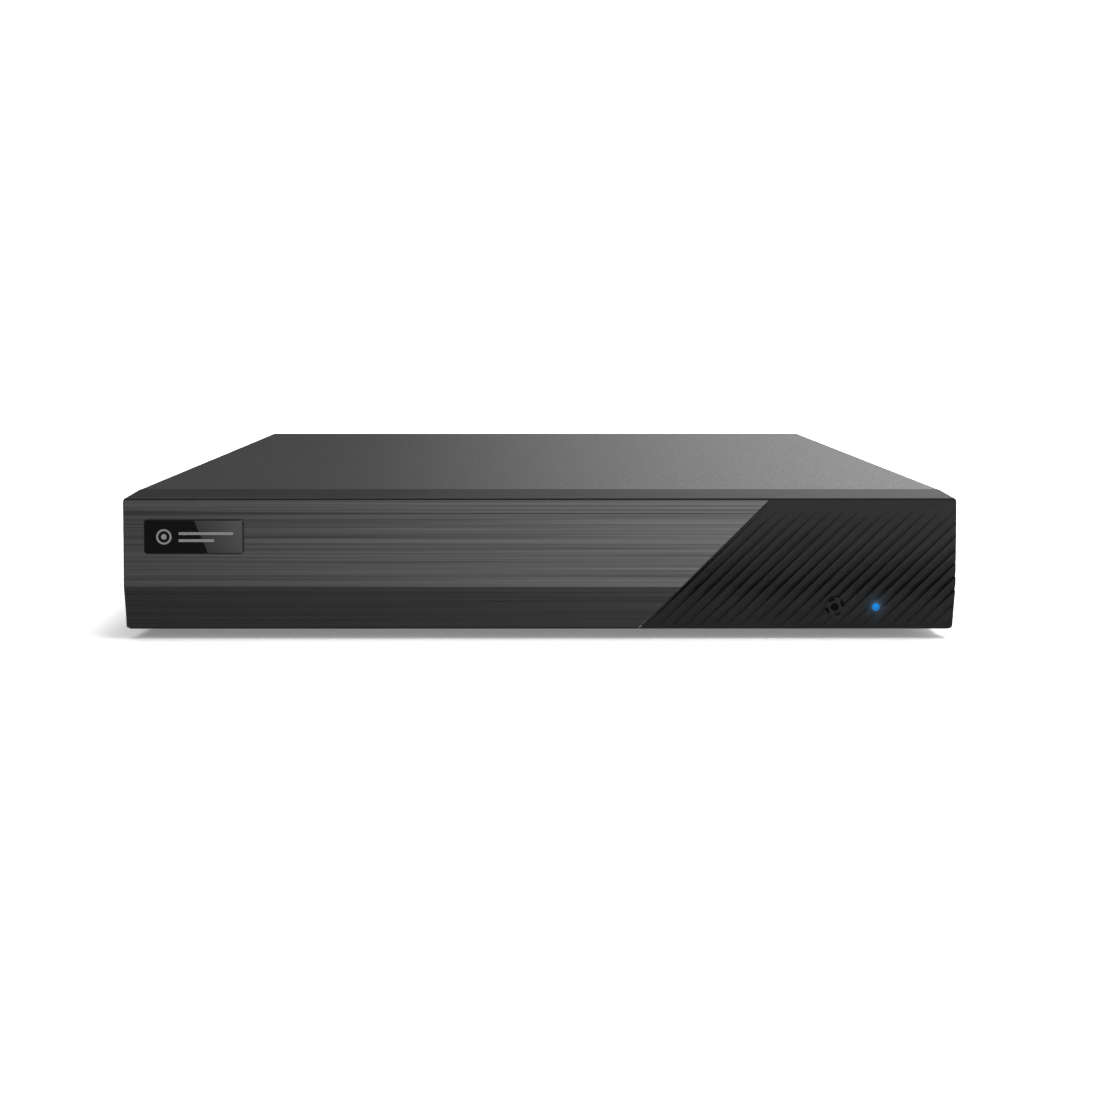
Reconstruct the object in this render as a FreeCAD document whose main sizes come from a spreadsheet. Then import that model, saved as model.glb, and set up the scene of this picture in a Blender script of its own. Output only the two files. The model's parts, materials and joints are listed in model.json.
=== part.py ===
"""Digital video recorder: a steel case with a moulded bezel, a hard drive, a main board and rear sockets.

Frame: +Z up, front towards -Y, origin on the ground under the middle of the whole recorder. Millimetres.
"""
import FreeCAD, Part
import math
import os
import re

import Sketcher
from FreeCAD import Placement, Rotation, Vector

SIZES = {
    # Front bezel
    "bezel_width": 255, "bezel_back_width": 251, "bezel_face_y": -115.7, "bezel_back_y": -107,
    "bezel_bottom": 3, "bezel_top": 43.7, "bezel_wall": 2.2, "band_rise": 1.6, "bend_z": 16.4,
    "lower_recede": 1.7, "lip_y": -102.8, "lip_half": 124.5, "lip_bottom": 3.6, "lip_wall": 1.4,
    "cavity_half": 122.6, "corner_radius": 1.3, "edge_radius": 0.45,
    "crease_height": 0.35, "crease_depth": 0.35,
    "boss_x": 118, "boss_low_z": 10, "boss_high_z": 37, "boss_radius": 2.8, "boss_length": 10.8,
    "pilot_radius": 1.3, "pilot_depth": 9,
    # Diagonal ribs of the bezel
    "diagonal_x": 43.6, "rib_pitch": 4.18, "rib_first": 1.35, "rib_depth": 0.9, "rib_top_z": 40.5,
    "rib_low_z": 3.4, "rib_spare": 0.3, "rib_floor": 0.02, "rib_overlap": 4,
    # Brushed front panel and badge
    "panel_front_y": -116, "panel_thick": 0.8, "panel_inset": 0.6, "panel_gap": 0.05, "panel_chamfer": 0.25,
    "badge_left": -120.6, "badge_width": 30.3, "badge_low": 26.7, "badge_height": 10.5, "badge_thick": 0.9,
    "badge_corner": 1, "badge_edge": 0.2,
    # Infrared window, light pipe and the small board behind them
    "window_x": 90.5, "light_x": 103.1, "lens_z": 10, "window_radius": 1.2, "light_radius": 1.15,
    "window_pad": 3.05, "light_pad": 2.3,
    "lens_proud": 0.2, "lens_length": 3.9, "lens_collar": 0.7, "lens_collar_length": 1,
    "lens_collar_gap": 0.5, "lens_gap": 0.05, "device_lift": 0.5,
    "arc_ring": 2.5, "arc_groove": 0.42, "arc_sweep": 44, "arc_first": 43,
    "front_board_x": 62, "front_board_z": 5.8, "front_board_y": -109.3,
    "front_board_length": 52, "front_board_height": 28.2, "board_thick": 1.6,
    "post_left_x": 66, "post_right_x": 110, "post_z": 28, "post_radius": 2.2, "pin_radius": 1,
    "pin_head": 1.7, "pin_head_length": 0.8, "led_size": 3.2, "led_depth": 1.2,
    "receiver_width": 5.4, "receiver_height": 5, "receiver_depth": 1.2,
    "ribbon_x": 92, "ribbon_width": 12, "ribbon_thick": 0.9, "ribbon_over_floor": 5, "ribbon_start": 14,
    "ribbon_drop": 30, "ribbon_rise": 24, "ribbon_end": 8, "ribbon_slot_side": 1, "ribbon_slot_rise": 2.5,
    "header_width": 15, "header_height": 5,
    "front_header_z": 18, "front_header_depth": 3.6, "back_header_z": 14, "back_header_depth": 6,
    # Steel case; a cutting tool runs past the surface it cuts by over
    "over": 1, "sheet_steel": 1, "cover_steel": 0.8, "case_top": 45.3, "cover_width": 251, "cover_low": 3.9,
    "cover_bend": 1.6, "wall_corner": 1, "floor_z": 3.4, "base_width": 248.8, "base_side": 13, "rear_y": 104,
    "vent_y": -62, "vent_pitch": 5, "vent_count": 26, "vent_wide": 2.2, "vent_low": 24, "vent_high": 36,
    "cover_screw_y": 82, "cover_screw_z": 10, "screw_radius": 1.45, "screw_gap": 0.1,
    "head_radius": 2.8, "head_length": 1.5, "thread_length": 5,
    "floor_vent_x": 44, "floor_vent_y": -88, "floor_vent_length": 40, "floor_vent_wide": 2.4,
    "floor_vent_pitch": 6, "floor_vent_count": 9,
    "foot_x": 104, "foot_y": 84, "foot_radius": 7.5, "foot_top_radius": 8.5, "foot_stem": 2,
    "foot_barb": 2.8, "foot_barb_length": 1.6, "foot_round": 0.8,
    # Main board
    "board_width": 235, "board_front": 9, "board_depth": 93, "board_z": 9.4,
    "stud_x": 112, "stud_front_y": 14, "stud_back_y": 88, "stud_radius": 3, "stud_pilot": 1.3,
    "chip_x": -4, "chip_y": 48, "chip_size": 23, "chip_thick": 2,
    "sink_size": 29, "sink_height": 12, "sink_floor": 2.6, "fin_count": 8, "fin_gap": 2.2,
    "memory_x": 24, "memory_y": 38, "memory_length": 13, "memory_width": 8, "memory_thick": 1.1,
    "memory_pitch": 11, "capacitor_x": -96, "capacitor_y": 44, "capacitor_radius": 4,
    "capacitor_height": 11.5, "capacitor_pitch": 10, "cell_x": 64, "cell_y": 34, "cell_radius": 10,
    "cell_thick": 3.2, "holder_size": 24, "holder_height": 5.4, "holder_floor": 1.6, "cell_gap": 0.2,
    "buzzer_x": -50, "buzzer_y": 24, "buzzer_radius": 6, "buzzer_height": 9, "buzzer_hole": 1.2,
    # Drive sockets on the main board
    "data_port_x": 58, "power_port_x": 76, "port_z": 13.6, "data_port_width": 13, "power_port_width": 17,
    "port_height": 5, "port_depth": 7, "plug_depth": 12, "data_plug_y": -14, "power_plug_y": -38,
    "cable_radius": 2.2,
    # Video sockets
    "bnc_first_x": 73, "bnc_pitch": 16, "bnc_low_z": 18.4, "bnc_high_z": 34.4, "bnc_end_y": 116.9,
    "bnc_radius": 4.8, "bnc_bore": 4.1, "bnc_bore_depth": 9, "bnc_core": 2.4, "bnc_core_back": 1.6,
    "bnc_contact": 0.75, "bnc_lug_radius": 0.95, "bnc_lug_reach": 5.6, "bnc_lug_back": 4.6,
    "bnc_hole": 5.1, "bnc_flange": 6.4, "bnc_flange_length": 2.6, "housing_width": 14.6,
    "housing_depth": 15, "housing_top": 42.4,
    # Audio sockets
    "audio_x": 9.6, "audio_end_y": 112.8, "audio_radius": 4.15, "audio_wall": 0.5, "audio_collar": 5.2,
    "audio_collar_length": 1.2, "audio_core": 3.4, "audio_contact": 1.6, "audio_gap": 0.25,
    "audio_width": 11.4,
    # Flat sockets: centre, width and height of each face, and how far it stands out of the rear wall
    "vga_x": -14, "vga_z": 19, "vga_plate_width": 30.8, "vga_plate_height": 12.5, "vga_top_width": 17.2,
    "vga_low_width": 15.6, "vga_height": 8.3, "vga_reach": 5.8, "vga_wall": 0.5, "vga_body_depth": 12,
    "vga_core_back": 0.8, "vga_pin": 0.55, "vga_pin_pitch": 2.3, "vga_row_pitch": 1.95,
    "jackscrew_pitch": 25, "jackscrew_radius": 2.9, "jackscrew_length": 5.4, "jackscrew_hole": 1.2,
    "jackscrew_stem": 1.3, "jackscrew_clear": 2.4,
    "hdmi_x": -38, "hdmi_width": 15, "hdmi_height": 5.7, "hdmi_z": 14.2, "hdmi_depth": 11.5,
    "hdmi_wall": 0.4, "hdmi_back": 2, "hdmi_tongue_back": 1.5, "hdmi_tongue_width": 10,
    "hdmi_tongue_thick": 1,
    "lan_x": -56, "lan_width": 16, "lan_height": 13.6, "lan_depth": 20,
    "lan_socket_width": 11.8, "lan_socket_height": 7, "lan_socket_depth": 12, "lan_socket_low": 2.2,
    "lan_latch_width": 6.2, "lan_latch_height": 2.3, "lan_latch_lap": 0.1,
    "usb_x": -74, "usb_width": 13.6, "usb_height": 15.8, "usb_depth": 17, "usb_wall": 0.5,
    "usb_slot_width": 12.2, "usb_slot_height": 5.2, "usb_slot_low": 1.3, "usb_slot_pitch": 7.8,
    "usb_slot_depth": 9, "usb_tongue_thick": 1.8,
    "socket_reach": 0.6, "socket_gap": 0.25,
    # Control terminal with spring levers
    "terminal_x": -88.6, "terminal_width": 11, "terminal_height": 12, "terminal_depth": 12,
    "terminal_reach": 2.6, "terminal_pitch": 5, "wire_hole": 1.35, "wire_hole_depth": 8,
    "wire_hole_z": 3.4, "lever_z": 7.4, "lever_width": 3, "lever_height": 3, "lever_gap": 0.15,
    "lever_reach": 1.6, "lever_length": 6, "lever_pocket": 7.2,
    # Power inlet and switch
    "inlet_x": -101, "inlet_width": 9.2, "inlet_height": 11, "inlet_depth": 13.5, "inlet_reach": 0.6,
    "inlet_bore": 3.1, "inlet_bore_depth": 9.5, "inlet_pin": 1.2, "inlet_pin_back": 1.2,
    "switch_x": -113.6, "switch_z": 26, "switch_width": 8.6, "switch_height": 13, "switch_depth": 11,
    "switch_flange": 0.9, "switch_flange_thick": 1.4, "switch_well_width": 6.6, "switch_well_height": 11,
    "switch_well_depth": 6.5, "rocker_width": 6.2, "rocker_axis_in": 1.8, "rocker_side_gap": 0.5,
    "rocker_under": 2.2, "rocker_skirt": 1, "rocker_skirt_share": 0.75, "rocker_dip": 0.9, "switch_lap": 0.5,
    "rocker_face": 1.6, "rocker_tilt": 10, "rocker_pin": 0.8, "rocker_pin_gap": 0.05, "rocker_pin_end": 0.7,
    # Fan
    "fan_x": 100, "fan_z": 28, "fan_size": 30, "fan_thick": 10, "fan_duct": 14.1, "fan_hub": 6.5,
    "fan_motor_thick": 1.6, "fan_strut": 1.8, "fan_tip": 13.4, "fan_axle": 1,
    "fan_axle_gap": 0.05, "fan_axle_end": 0.3,
    "fan_blade_count": 7, "fan_blade_thick": 1, "fan_blade_chord": 8, "fan_blade_tilt": 38,
    "fan_rotor_front": 95.4, "fan_rotor_length": 6.9, "fan_cup_wall": 1, "fan_hole_pitch": 24,
    "fan_screw_radius": 1.3, "fan_screw_length": 9, "fan_head": 2.6, "fan_head_length": 1.2,
    "grille_hole": 2.1, "grille_inner": 5.3, "grille_outer": 10.5,
    # Hard drive
    "drive_x": -118, "drive_y": -98, "drive_z": 7.3, "drive_length": 147, "drive_width": 101.6,
    "drive_height": 26.1, "drive_lid": 1.5, "drive_floor_z": 13, "drive_wall": 3.2, "disc_x": -66.5,
    "disc_radius": 47.5, "disc_thick": 1.3, "disc_low_z": 16, "disc_pitch": 5, "disc_hole": 12.5,
    "disc_room": 48.9, "hub_low_z": 13.5, "hub_top_z": 25.2, "hub_cap": 15.5, "hub_cap_thick": 1.4,
    "axle_radius": 3, "axle_gap": 0.06, "axle_top_z": 26, "arm_x": -13, "arm_y": -66, "arm_hub": 7,
    "arm_length": 46, "arm_root": 5.5, "arm_tip": 1.6, "blade_thick": 1, "blade_low_z": 14.2,
    "blade_pitch": 4.7, "arm_park": 57, "coil_reach": 23, "coil_thick": 2.2, "coil_z": 18.2,
    "coil_half_angle": 20, "arm_travel": 38, "yoke_low_z": 13, "yoke_thick": 3.2, "yoke_gap": 8.6,
    "yoke_inner": 9.5, "yoke_outer": 25, "yoke_half_angle": 62, "yoke_post": 2.2, "yoke_room": 4,
    "drive_board_width": 62, "drive_board_x": -78, "drive_board_room": 1.9,
    "drive_socket_depth": 6, "drive_socket_low": 10.4, "drive_socket_height": 6.6, "drive_socket_fit": 0.1,
    "lid_screw_inset": 6, "lid_screw_radius": 1.1, "lid_screw_head": 2.2, "lid_screw_head_length": 0.9,
    "lid_screw_length": 5, "mount_front_y": -94.8, "mount_back_y": 0.4, "mount_left_x": -56.8,
    "mount_right_x": -12.3, "mount_boss": 4, "rail_width": 10, "mount_hole_spare": 0.4,
    "mount_screw_length": 8,
}

doc = FreeCAD.newDocument("dvr_recorder")
sheet = doc.addObject("Spreadsheet::Sheet", "sizes")
for row, (alias, number) in enumerate(SIZES.items(), start=1):
    sheet.set(f"A{row}", alias)
    sheet.set(f"B{row}", str(number))
    sheet.setAlias(f"B{row}", alias)
doc.recompute()

NODES = []
X_AXIS, Y_AXIS, Z_AXIS = Vector(1, 0, 0), Vector(0, 1, 0), Vector(0, 0, 1)
TURNS = {"x": Rotation(Y_AXIS, 90), "y": Rotation(X_AXIS, -90), "z": Rotation()}


# ---------------------------------------------------------------- helpers

def expression(text):
    """Sheet aliases in a formula become references to the sheet's cells."""
    return re.sub(r"[a-z_]\w*", lambda word: f"sizes.{word[0]}" if word[0] in SIZES else word[0], str(text))


def value(text):
    """The present number of a formula of sheet aliases."""
    return float(sheet.evalExpression(expression(text)))


def bind(thing, **formulas):
    for name, text in formulas.items():
        thing.setExpression(name, expression(text))
    return thing


def put(thing, x=0, y=0, z=0, turn=None):
    """Place a piece at a bound position, after an optional rotation."""
    if turn is not None:
        thing.Placement = Placement(Vector(), turn)
    for name, text in (("x", x), ("y", y), ("z", z)):
        thing.setExpression(f"Placement.Base.{name}", expression(text))
    return thing


def node(label, thing):
    """The finished sub-part; its label names its file."""
    thing.Label = label
    NODES.append(thing)
    return thing


def block(x, y, z, length, width, height):
    return put(bind(doc.addObject("Part::Box", "block"), Length=length, Width=width, Height=height), x, y, z)


def centred(x, y, z, length, width, height):
    """A block centred on x and z that starts at y."""
    return block(f"({x}) - ({length})/2", y, f"({z}) - ({height})/2", length, width, height)


def rod(x, y, z, radius, length, axis="z"):
    piece = bind(doc.addObject("Part::Cylinder", "rod"), Radius=radius, Height=length)
    return put(piece, x, y, z, TURNS[axis])


def fuse(*pieces):
    joined = doc.addObject("Part::MultiFuse", "joined")
    joined.Shapes = list(pieces)
    joined.Refine = True
    return joined


def cut(base, *tools):
    result = doc.addObject("Part::Cut", "cut")
    result.Base = base
    result.Tool = tools[0] if len(tools) == 1 else fuse(*tools)
    result.Refine = True
    return result


def common(first, second):
    result = doc.addObject("Part::Common", "shared")
    result.Base = first
    result.Tool = second
    return result


def group(*pieces):
    """Separate solids that share one node."""
    bunch = doc.addObject("Part::Compound", "bunch")
    bunch.Links = list(pieces)
    return bunch


def new_body(name):
    return doc.addObject("PartDesign::Body", f"{name}_body")


def sketch(body, plane, offset=0):
    """A sketch on one of the body's origin planes, moved along that plane's normal."""
    drawing = body.newObject("Sketcher::SketchObject", "sketch")
    support = next(part for part in body.Origin.OriginFeatures if part.Role == plane)
    drawing.AttachmentSupport = [(support, "")]
    drawing.MapMode = "FlatFace"
    drawing.setExpression("AttachmentOffset.Base.z", expression(offset))
    return drawing


def constrain(drawing, kind, *where, size):
    """One driving dimension of a sketch, bound to the sheet."""
    index = drawing.addConstraint(Sketcher.Constraint(kind, *where, value(size)))
    name = f"size{index}"
    drawing.renameConstraint(index, name)
    drawing.setExpression(f"Constraints.{name}", expression(size))


def pin(drawing, element, point, x, y):
    constrain(drawing, "DistanceX", -1, 1, element, point, size=x)
    constrain(drawing, "DistanceY", -1, 1, element, point, size=y)


def polygon(drawing, corners):
    """A closed outline through pairs of formulas."""
    points = [Vector(value(x), value(y), 0) for x, y in corners]
    first = drawing.GeometryCount
    for start, end in zip(points, points[1:] + points[:1]):
        drawing.addGeometry(Part.LineSegment(start, end), False)
    for index, (x, y) in enumerate(corners):
        following = first + (index + 1) % len(corners)
        drawing.addConstraint(Sketcher.Constraint("Coincident", first + index, 2, following, 1))
        pin(drawing, first + index, 1, x, y)


def rectangle(drawing, x, y, width, height):
    """A rectangle centred on (x, y)."""
    left, right = f"({x}) - ({width})/2", f"({x}) + ({width})/2"
    low, high = f"({y}) - ({height})/2", f"({y}) + ({height})/2"
    polygon(drawing, [(left, low), (right, low), (right, high), (left, high)])


def circle(drawing, x, y, radius):
    index = drawing.addGeometry(Part.Circle(Vector(value(x), value(y), 0), Z_AXIS, value(radius)), False)
    pin(drawing, index, 3, x, y)
    constrain(drawing, "Radius", index, size=radius)


def pad(body, drawing, length, back=False, both=False):
    feature = body.newObject("PartDesign::Pad", "pad")
    feature.Profile = drawing
    bind(feature, Length=length)
    feature.Reversed = back
    feature.SideType = "Symmetric" if both else "One side"
    doc.recompute()
    return feature


def pocket(body, drawing, length, back=False, both=False):
    """A pocket, which must take material away."""
    before = body.Shape.Volume
    feature = body.newObject("PartDesign::Pocket", "pocket")
    feature.Profile = drawing
    bind(feature, Length=length)
    feature.Reversed = back
    feature.SideType = "Symmetric" if both else "One side"
    doc.recompute()
    if body.Shape.Volume >= before:
        raise ValueError(f"{body.Label}: a pocket cuts nothing")
    return feature


def repeat(body, feature, axis, length, count):
    """A row of copies of a feature along one of the body's axes."""
    row = body.newObject("PartDesign::LinearPattern", "row")
    row.Originals = [feature]
    row.Direction = (next(part for part in body.Origin.OriginFeatures if part.Role == axis), [""])
    bind(row, Length=length, Occurrences=count)
    body.Tip = row
    doc.recompute()
    return row


def dress(body, kind, size, chosen):
    """A fillet or chamfer on the edges of the body that the test picks by their middle and direction."""
    names, before = [], body.Tip
    for index, edge in enumerate(body.Shape.Edges, start=1):
        middle = edge.valueAt((edge.FirstParameter + edge.LastParameter) / 2)
        along = edge.tangentAt((edge.FirstParameter + edge.LastParameter) / 2)
        if chosen(middle, along):
            names.append(f"Edge{index}")
    feature = body.newObject(f"PartDesign::{kind}", kind.lower())
    feature.Base = (before, names)
    bind(feature, **{"Radius" if kind == "Fillet" else "Size": size})
    body.Tip = feature
    doc.recompute()
    return feature


def near(number, text, slack=0.02):
    return abs(number - value(text)) < slack


# ---------------------------------------------------------------- steel case

def rear_cutouts(drawing):
    """Every opening of the rear wall, drawn as seen along +Y."""
    for stack in range(4):
        for level in ("bnc_low_z", "bnc_high_z"):
            circle(drawing, f"bnc_first_x - {stack}*bnc_pitch", level, "bnc_hole")
    for level in ("bnc_low_z", "bnc_high_z"):
        circle(drawing, "audio_x", level, "audio_collar + audio_gap")
    rectangle(drawing, "vga_x", "vga_z", "vga_top_width + 2*socket_gap", "vga_height + 2*socket_gap")
    for side in (-1, 1):
        circle(drawing, f"vga_x + {side}*jackscrew_pitch/2", "vga_z", "jackscrew_clear")
    rectangle(drawing, "hdmi_x", "hdmi_z", "hdmi_width + 2*socket_gap", "hdmi_height + 2*socket_gap")
    board_top = "board_z + board_thick"
    for name in ("lan", "usb", "terminal", "inlet"):
        rectangle(drawing, f"{name}_x", f"{board_top} + {name}_height/2",
                  f"{name}_width + 2*socket_gap", f"{name}_height + 2*socket_gap")
    rectangle(drawing, "switch_x", "switch_z", "switch_width + 2*socket_gap", "switch_height + 2*socket_gap")
    circle(drawing, "fan_x", "fan_z", "grille_hole")
    for count, ring in ((6, "grille_inner"), (12, "grille_outer")):
        for turn in range(count):
            angle = 360 / count * turn
            circle(drawing, f"fan_x + {ring}*cos({angle})", f"fan_z + {ring}*sin({angle})", "grille_hole")
    for x, z in corners_of("fan_x", "fan_z", "fan_hole_pitch/2", "fan_hole_pitch/2"):
        circle(drawing, x, z, "fan_screw_radius + screw_gap")


def corners_of(x, y, half_x, half_y):
    return [(f"({x}) + {i}*({half_x})", f"({y}) + {j}*({half_y})") for i in (-1, 1) for j in (-1, 1)]


def feet_places():
    return corners_of(0, 0, "foot_x", "foot_y")


def drive_mounts():
    return [(x, y) for x in ("mount_left_x", "mount_right_x") for y in ("mount_front_y", "mount_back_y")]


def board_studs():
    return [(f"{side}*stud_x", y) for side in (-1, 0, 1) for y in ("stud_front_y", "stud_back_y")]


def chassis_base():
    """One folded sheet: floor, front and rear walls at full height, low side flanges."""
    body = new_body("chassis_base")
    top, floor, skin = "case_top - cover_steel", "floor_z", "sheet_steel"
    side = sketch(body, "YZ_Plane")
    polygon(side, [("lip_y", floor), ("rear_y", floor), ("rear_y", top), (f"rear_y - {skin}", top),
                   (f"rear_y - {skin}", f"{floor} + {skin}"), (f"lip_y + {skin}", f"{floor} + {skin}"),
                   (f"lip_y + {skin}", top), ("lip_y", top)])
    pad(body, side, "base_width", both=True)
    flanges = sketch(body, "XZ_Plane", "-lip_y")
    for hand in (-1, 1):
        polygon(flanges, [(f"{hand}*base_width/2", floor), (f"{hand}*base_width/2", f"{floor} + base_side"),
                          (f"{hand}*(base_width/2 - {skin})", f"{floor} + base_side"),
                          (f"{hand}*(base_width/2 - {skin})", floor)])
    pad(body, flanges, "rear_y - lip_y", back=True)
    dress(body, "Chamfer", "wall_corner", lambda spot, along: abs(along.y) > 0.9 and near(spot.z, top)
          and near(abs(spot.x), "base_width/2"))

    bosses = sketch(body, "XY_Plane", "floor_z")
    for x, y in drive_mounts():
        circle(bosses, x, y, "mount_boss")
    pad(body, bosses, "drive_z - floor_z")
    studs = sketch(body, "XY_Plane", "floor_z")
    for x, y in board_studs():
        circle(studs, x, y, "stud_radius")
    pad(body, studs, "board_z - floor_z")

    holes = sketch(body, "XY_Plane")
    for x, y in drive_mounts():
        circle(holes, x, y, "screw_radius + screw_gap")
    for x, y in board_studs():
        circle(holes, x, y, "stud_pilot + screw_gap")
    for x, y in feet_places():
        circle(holes, x, y, "foot_stem")
    pocket(body, holes, "board_z + over", back=True)

    slot = sketch(body, "XY_Plane")
    rectangle(slot, "floor_vent_x + floor_vent_length/2", "floor_vent_y", "floor_vent_length",
              "floor_vent_wide")
    first = pocket(body, slot, "floor_z + 2*sheet_steel", back=True)
    repeat(body, first, "Y_Axis", "floor_vent_pitch*(floor_vent_count - 1)", "floor_vent_count")

    rear = sketch(body, "XZ_Plane", "1.5*sheet_steel - rear_y")
    rear_cutouts(rear)
    pocket(body, rear, "2*sheet_steel")
    front = sketch(body, "XZ_Plane", "sheet_steel - lip_y")
    rectangle(front, "ribbon_x", "front_header_z", "header_width + 2*ribbon_slot_side",
              "header_height + 2*ribbon_slot_rise")
    for hand in (-1, 1):
        for level in ("boss_low_z", "boss_high_z"):
            circle(front, f"{hand}*boss_x", level, "screw_radius + screw_gap")
    pocket(body, front, "3*sheet_steel")

    sides = sketch(body, "YZ_Plane")
    for hand in (-1, 1):
        circle(sides, f"{hand}*cover_screw_y", "cover_screw_z", "screw_radius + screw_gap")
    pocket(body, sides, "cover_width", both=True)
    node("chassis_base", body)


def top_cover():
    """A U-shaped sheet: top and two sides, with a row of slots in each side."""
    body = new_body("top_cover")
    half, skin, top = "cover_width/2", "cover_steel", "case_top"
    outline = sketch(body, "XZ_Plane", "-bezel_back_y")
    polygon(outline, [(f"-{half}", "cover_low"), (f"{skin} - {half}", "cover_low"),
                      (f"{skin} - {half}", f"{top} - {skin}"), (f"{half} - {skin}", f"{top} - {skin}"),
                      (f"{half} - {skin}", "cover_low"), (half, "cover_low"), (half, top), (f"-{half}", top)])
    pad(body, outline, "rear_y - bezel_back_y", back=True)
    dress(body, "Fillet", "cover_bend", lambda spot, along: near(spot.z, top) and near(abs(spot.x), half))
    dress(body, "Fillet", "cover_bend - cover_steel",
          lambda spot, along: near(spot.z, f"{top} - {skin}") and near(abs(spot.x), f"{half} - {skin}"))
    slot = sketch(body, "YZ_Plane")
    rectangle(slot, "vent_y", "(vent_low + vent_high)/2", "vent_wide", "vent_high - vent_low")
    first = pocket(body, slot, "cover_width + cover_steel", both=True)
    repeat(body, first, "Y_Axis", "vent_pitch*(vent_count - 1)", "vent_count")
    holes = sketch(body, "YZ_Plane")
    for hand in (-1, 1):
        circle(holes, f"{hand}*cover_screw_y", "cover_screw_z", "screw_radius + screw_gap")
    pocket(body, holes, "cover_width + cover_steel", both=True)
    node("top_cover", body)


def rubber_feet():
    """Four turned feet, each pulled through a hole of the floor by a barbed stem."""
    for number, (x, y) in enumerate(feet_places(), start=1):
        body = new_body(f"rubber_foot_{number}")
        profile = sketch(body, "XZ_Plane")
        polygon(profile, [(0, 0), ("foot_radius", 0), ("foot_top_radius", "floor_z"),
                          ("foot_stem", "floor_z"), ("foot_stem", "floor_z + sheet_steel"),
                          ("foot_barb", "floor_z + sheet_steel"),
                          ("foot_stem/2", "floor_z + sheet_steel + foot_barb_length"),
                          (0, "floor_z + sheet_steel + foot_barb_length")])
        turned = body.newObject("PartDesign::Revolution", "turned")
        turned.Profile = profile
        turned.ReferenceAxis = (profile, ["V_Axis"])
        doc.recompute()
        dress(body, "Fillet", "foot_round", lambda spot, along: near(spot.z, 0) and abs(along.z) < 0.5
              and near(math.hypot(spot.x, spot.y), "foot_radius"))
        put(body, x, y)
        node(f"rubber_foot_{number}", body)


# ---------------------------------------------------------------- front bezel

def lower_face(x, z, inward=0):
    """A point on the sloping lower face, and the turn from +Z to the way into the bezel."""
    drop = value("bend_z - bezel_bottom")
    slope = math.atan2(value("lower_recede"), drop)
    face_y = value("bezel_face_y") + (value("bend_z") - value(z)) * math.tan(slope)
    way = Vector(0, math.cos(slope), math.sin(slope))
    spot = Vector(value(x), face_y, value(z)) + way * value(inward)
    return spot, Rotation(Z_AXIS, way)


def on_lower_face(thing, x, z, inward=0, spin=0):
    spot, turn = lower_face(x, z, inward)
    for name in "xyz":
        thing.setExpression(f"Placement.Base.{name}", None)
    thing.Placement = Placement(spot, turn * Rotation(Z_AXIS, spin))
    return thing


def rib_groove(number, upper):
    """One 45 degree saw-tooth groove, deepest at the bend and running out towards its far end.

    The prism's ramp falls to the right and its wall faces up and to the left. It runs a little
    past the bend, where its floor stays inside the groove on the other side.
    """
    width = (value("rib_pitch") if number else value("rib_first")) * math.sqrt(0.5)
    depth, spare = value("rib_depth"), value("rib_spare")
    bend = Vector(value("diagonal_x + rib_first") + number * value("rib_pitch"), value("bezel_face_y"),
                  value("bend_z"))
    if upper:
        rise = value("rib_top_z - bend_z")
        head = bend + Vector(rise, -depth, rise)
        foot = bend + (bend - head).normalize() * value("rib_overlap")
    else:
        drop = value("bend_z - rib_low_z")
        recede = drop * value("lower_recede/(bend_z - bezel_bottom)")
        foot = bend + Vector(-drop, recede - depth, -drop)
        head = bend + (bend - foot).normalize() * value("rib_overlap")
    along, across = foot - head, Vector(1, 0, -1)
    prism = doc.addObject("Part::Wedge", "groove")
    prism.Xmin, prism.Xmax = 0, along.Length
    prism.Ymin, prism.Ymax = -depth * spare, depth
    prism.Zmin, prism.Zmax = -width * spare, width
    prism.X2min, prism.X2max = 0, along.Length
    prism.Z2min, prism.Z2max = width * (1 - value("rib_floor")), width
    start = head - across * (width / across.Length)
    prism.Placement = Placement(start, Rotation(along, across.cross(along), across, "XYZ"))
    return prism


def rib_grooves():
    """The whole field of grooves right of the diagonal, out past the right-hand edge."""
    reach = value("bezel_width/2 + bend_z - bezel_bottom - diagonal_x - rib_first")
    count = math.ceil(reach / value("rib_pitch")) + 1
    return [rib_groove(number, upper) for number in range(count) for upper in (True, False)]


def panel_outline(drawing, front, back, low, high):
    """Side view of a sheet that follows the face: upright above the bend, sloping below it."""
    slope = value("lower_recede") / value("bend_z - bezel_bottom")
    drop = f"(bend_z - ({low}))*{slope}"
    polygon(drawing, [(front, "bend_z"), (front, high), (back, high), (back, "bend_z"),
                      (f"({back}) + {drop}", low), (f"({front}) + {drop}", low)])


def panel_blank(name, front, back, spread):
    """The brushed panel's shape, grown by a margin; also the tool for its recess."""
    body = new_body(name)
    low, high = f"bezel_bottom + panel_inset - {spread}", f"bezel_top - panel_inset + {spread}"
    left = f"panel_inset - bezel_width/2 - {spread}"
    side = sketch(body, "YZ_Plane", left)
    panel_outline(side, front, back, low, high)
    pad(body, side, f"diagonal_x + bezel_top - bend_z - ({left})")
    corner = sketch(body, "XZ_Plane")
    edge = f"diagonal_x - bend_z + {spread}"
    under, above = f"({low}) - over", f"({high}) + over"
    polygon(corner, [(f"{edge} + {under}", under), (f"{edge} + {above}", above), ("bezel_width", above),
                     ("bezel_width", under)])
    pocket(body, corner, "bezel_width", both=True)
    return body


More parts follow.
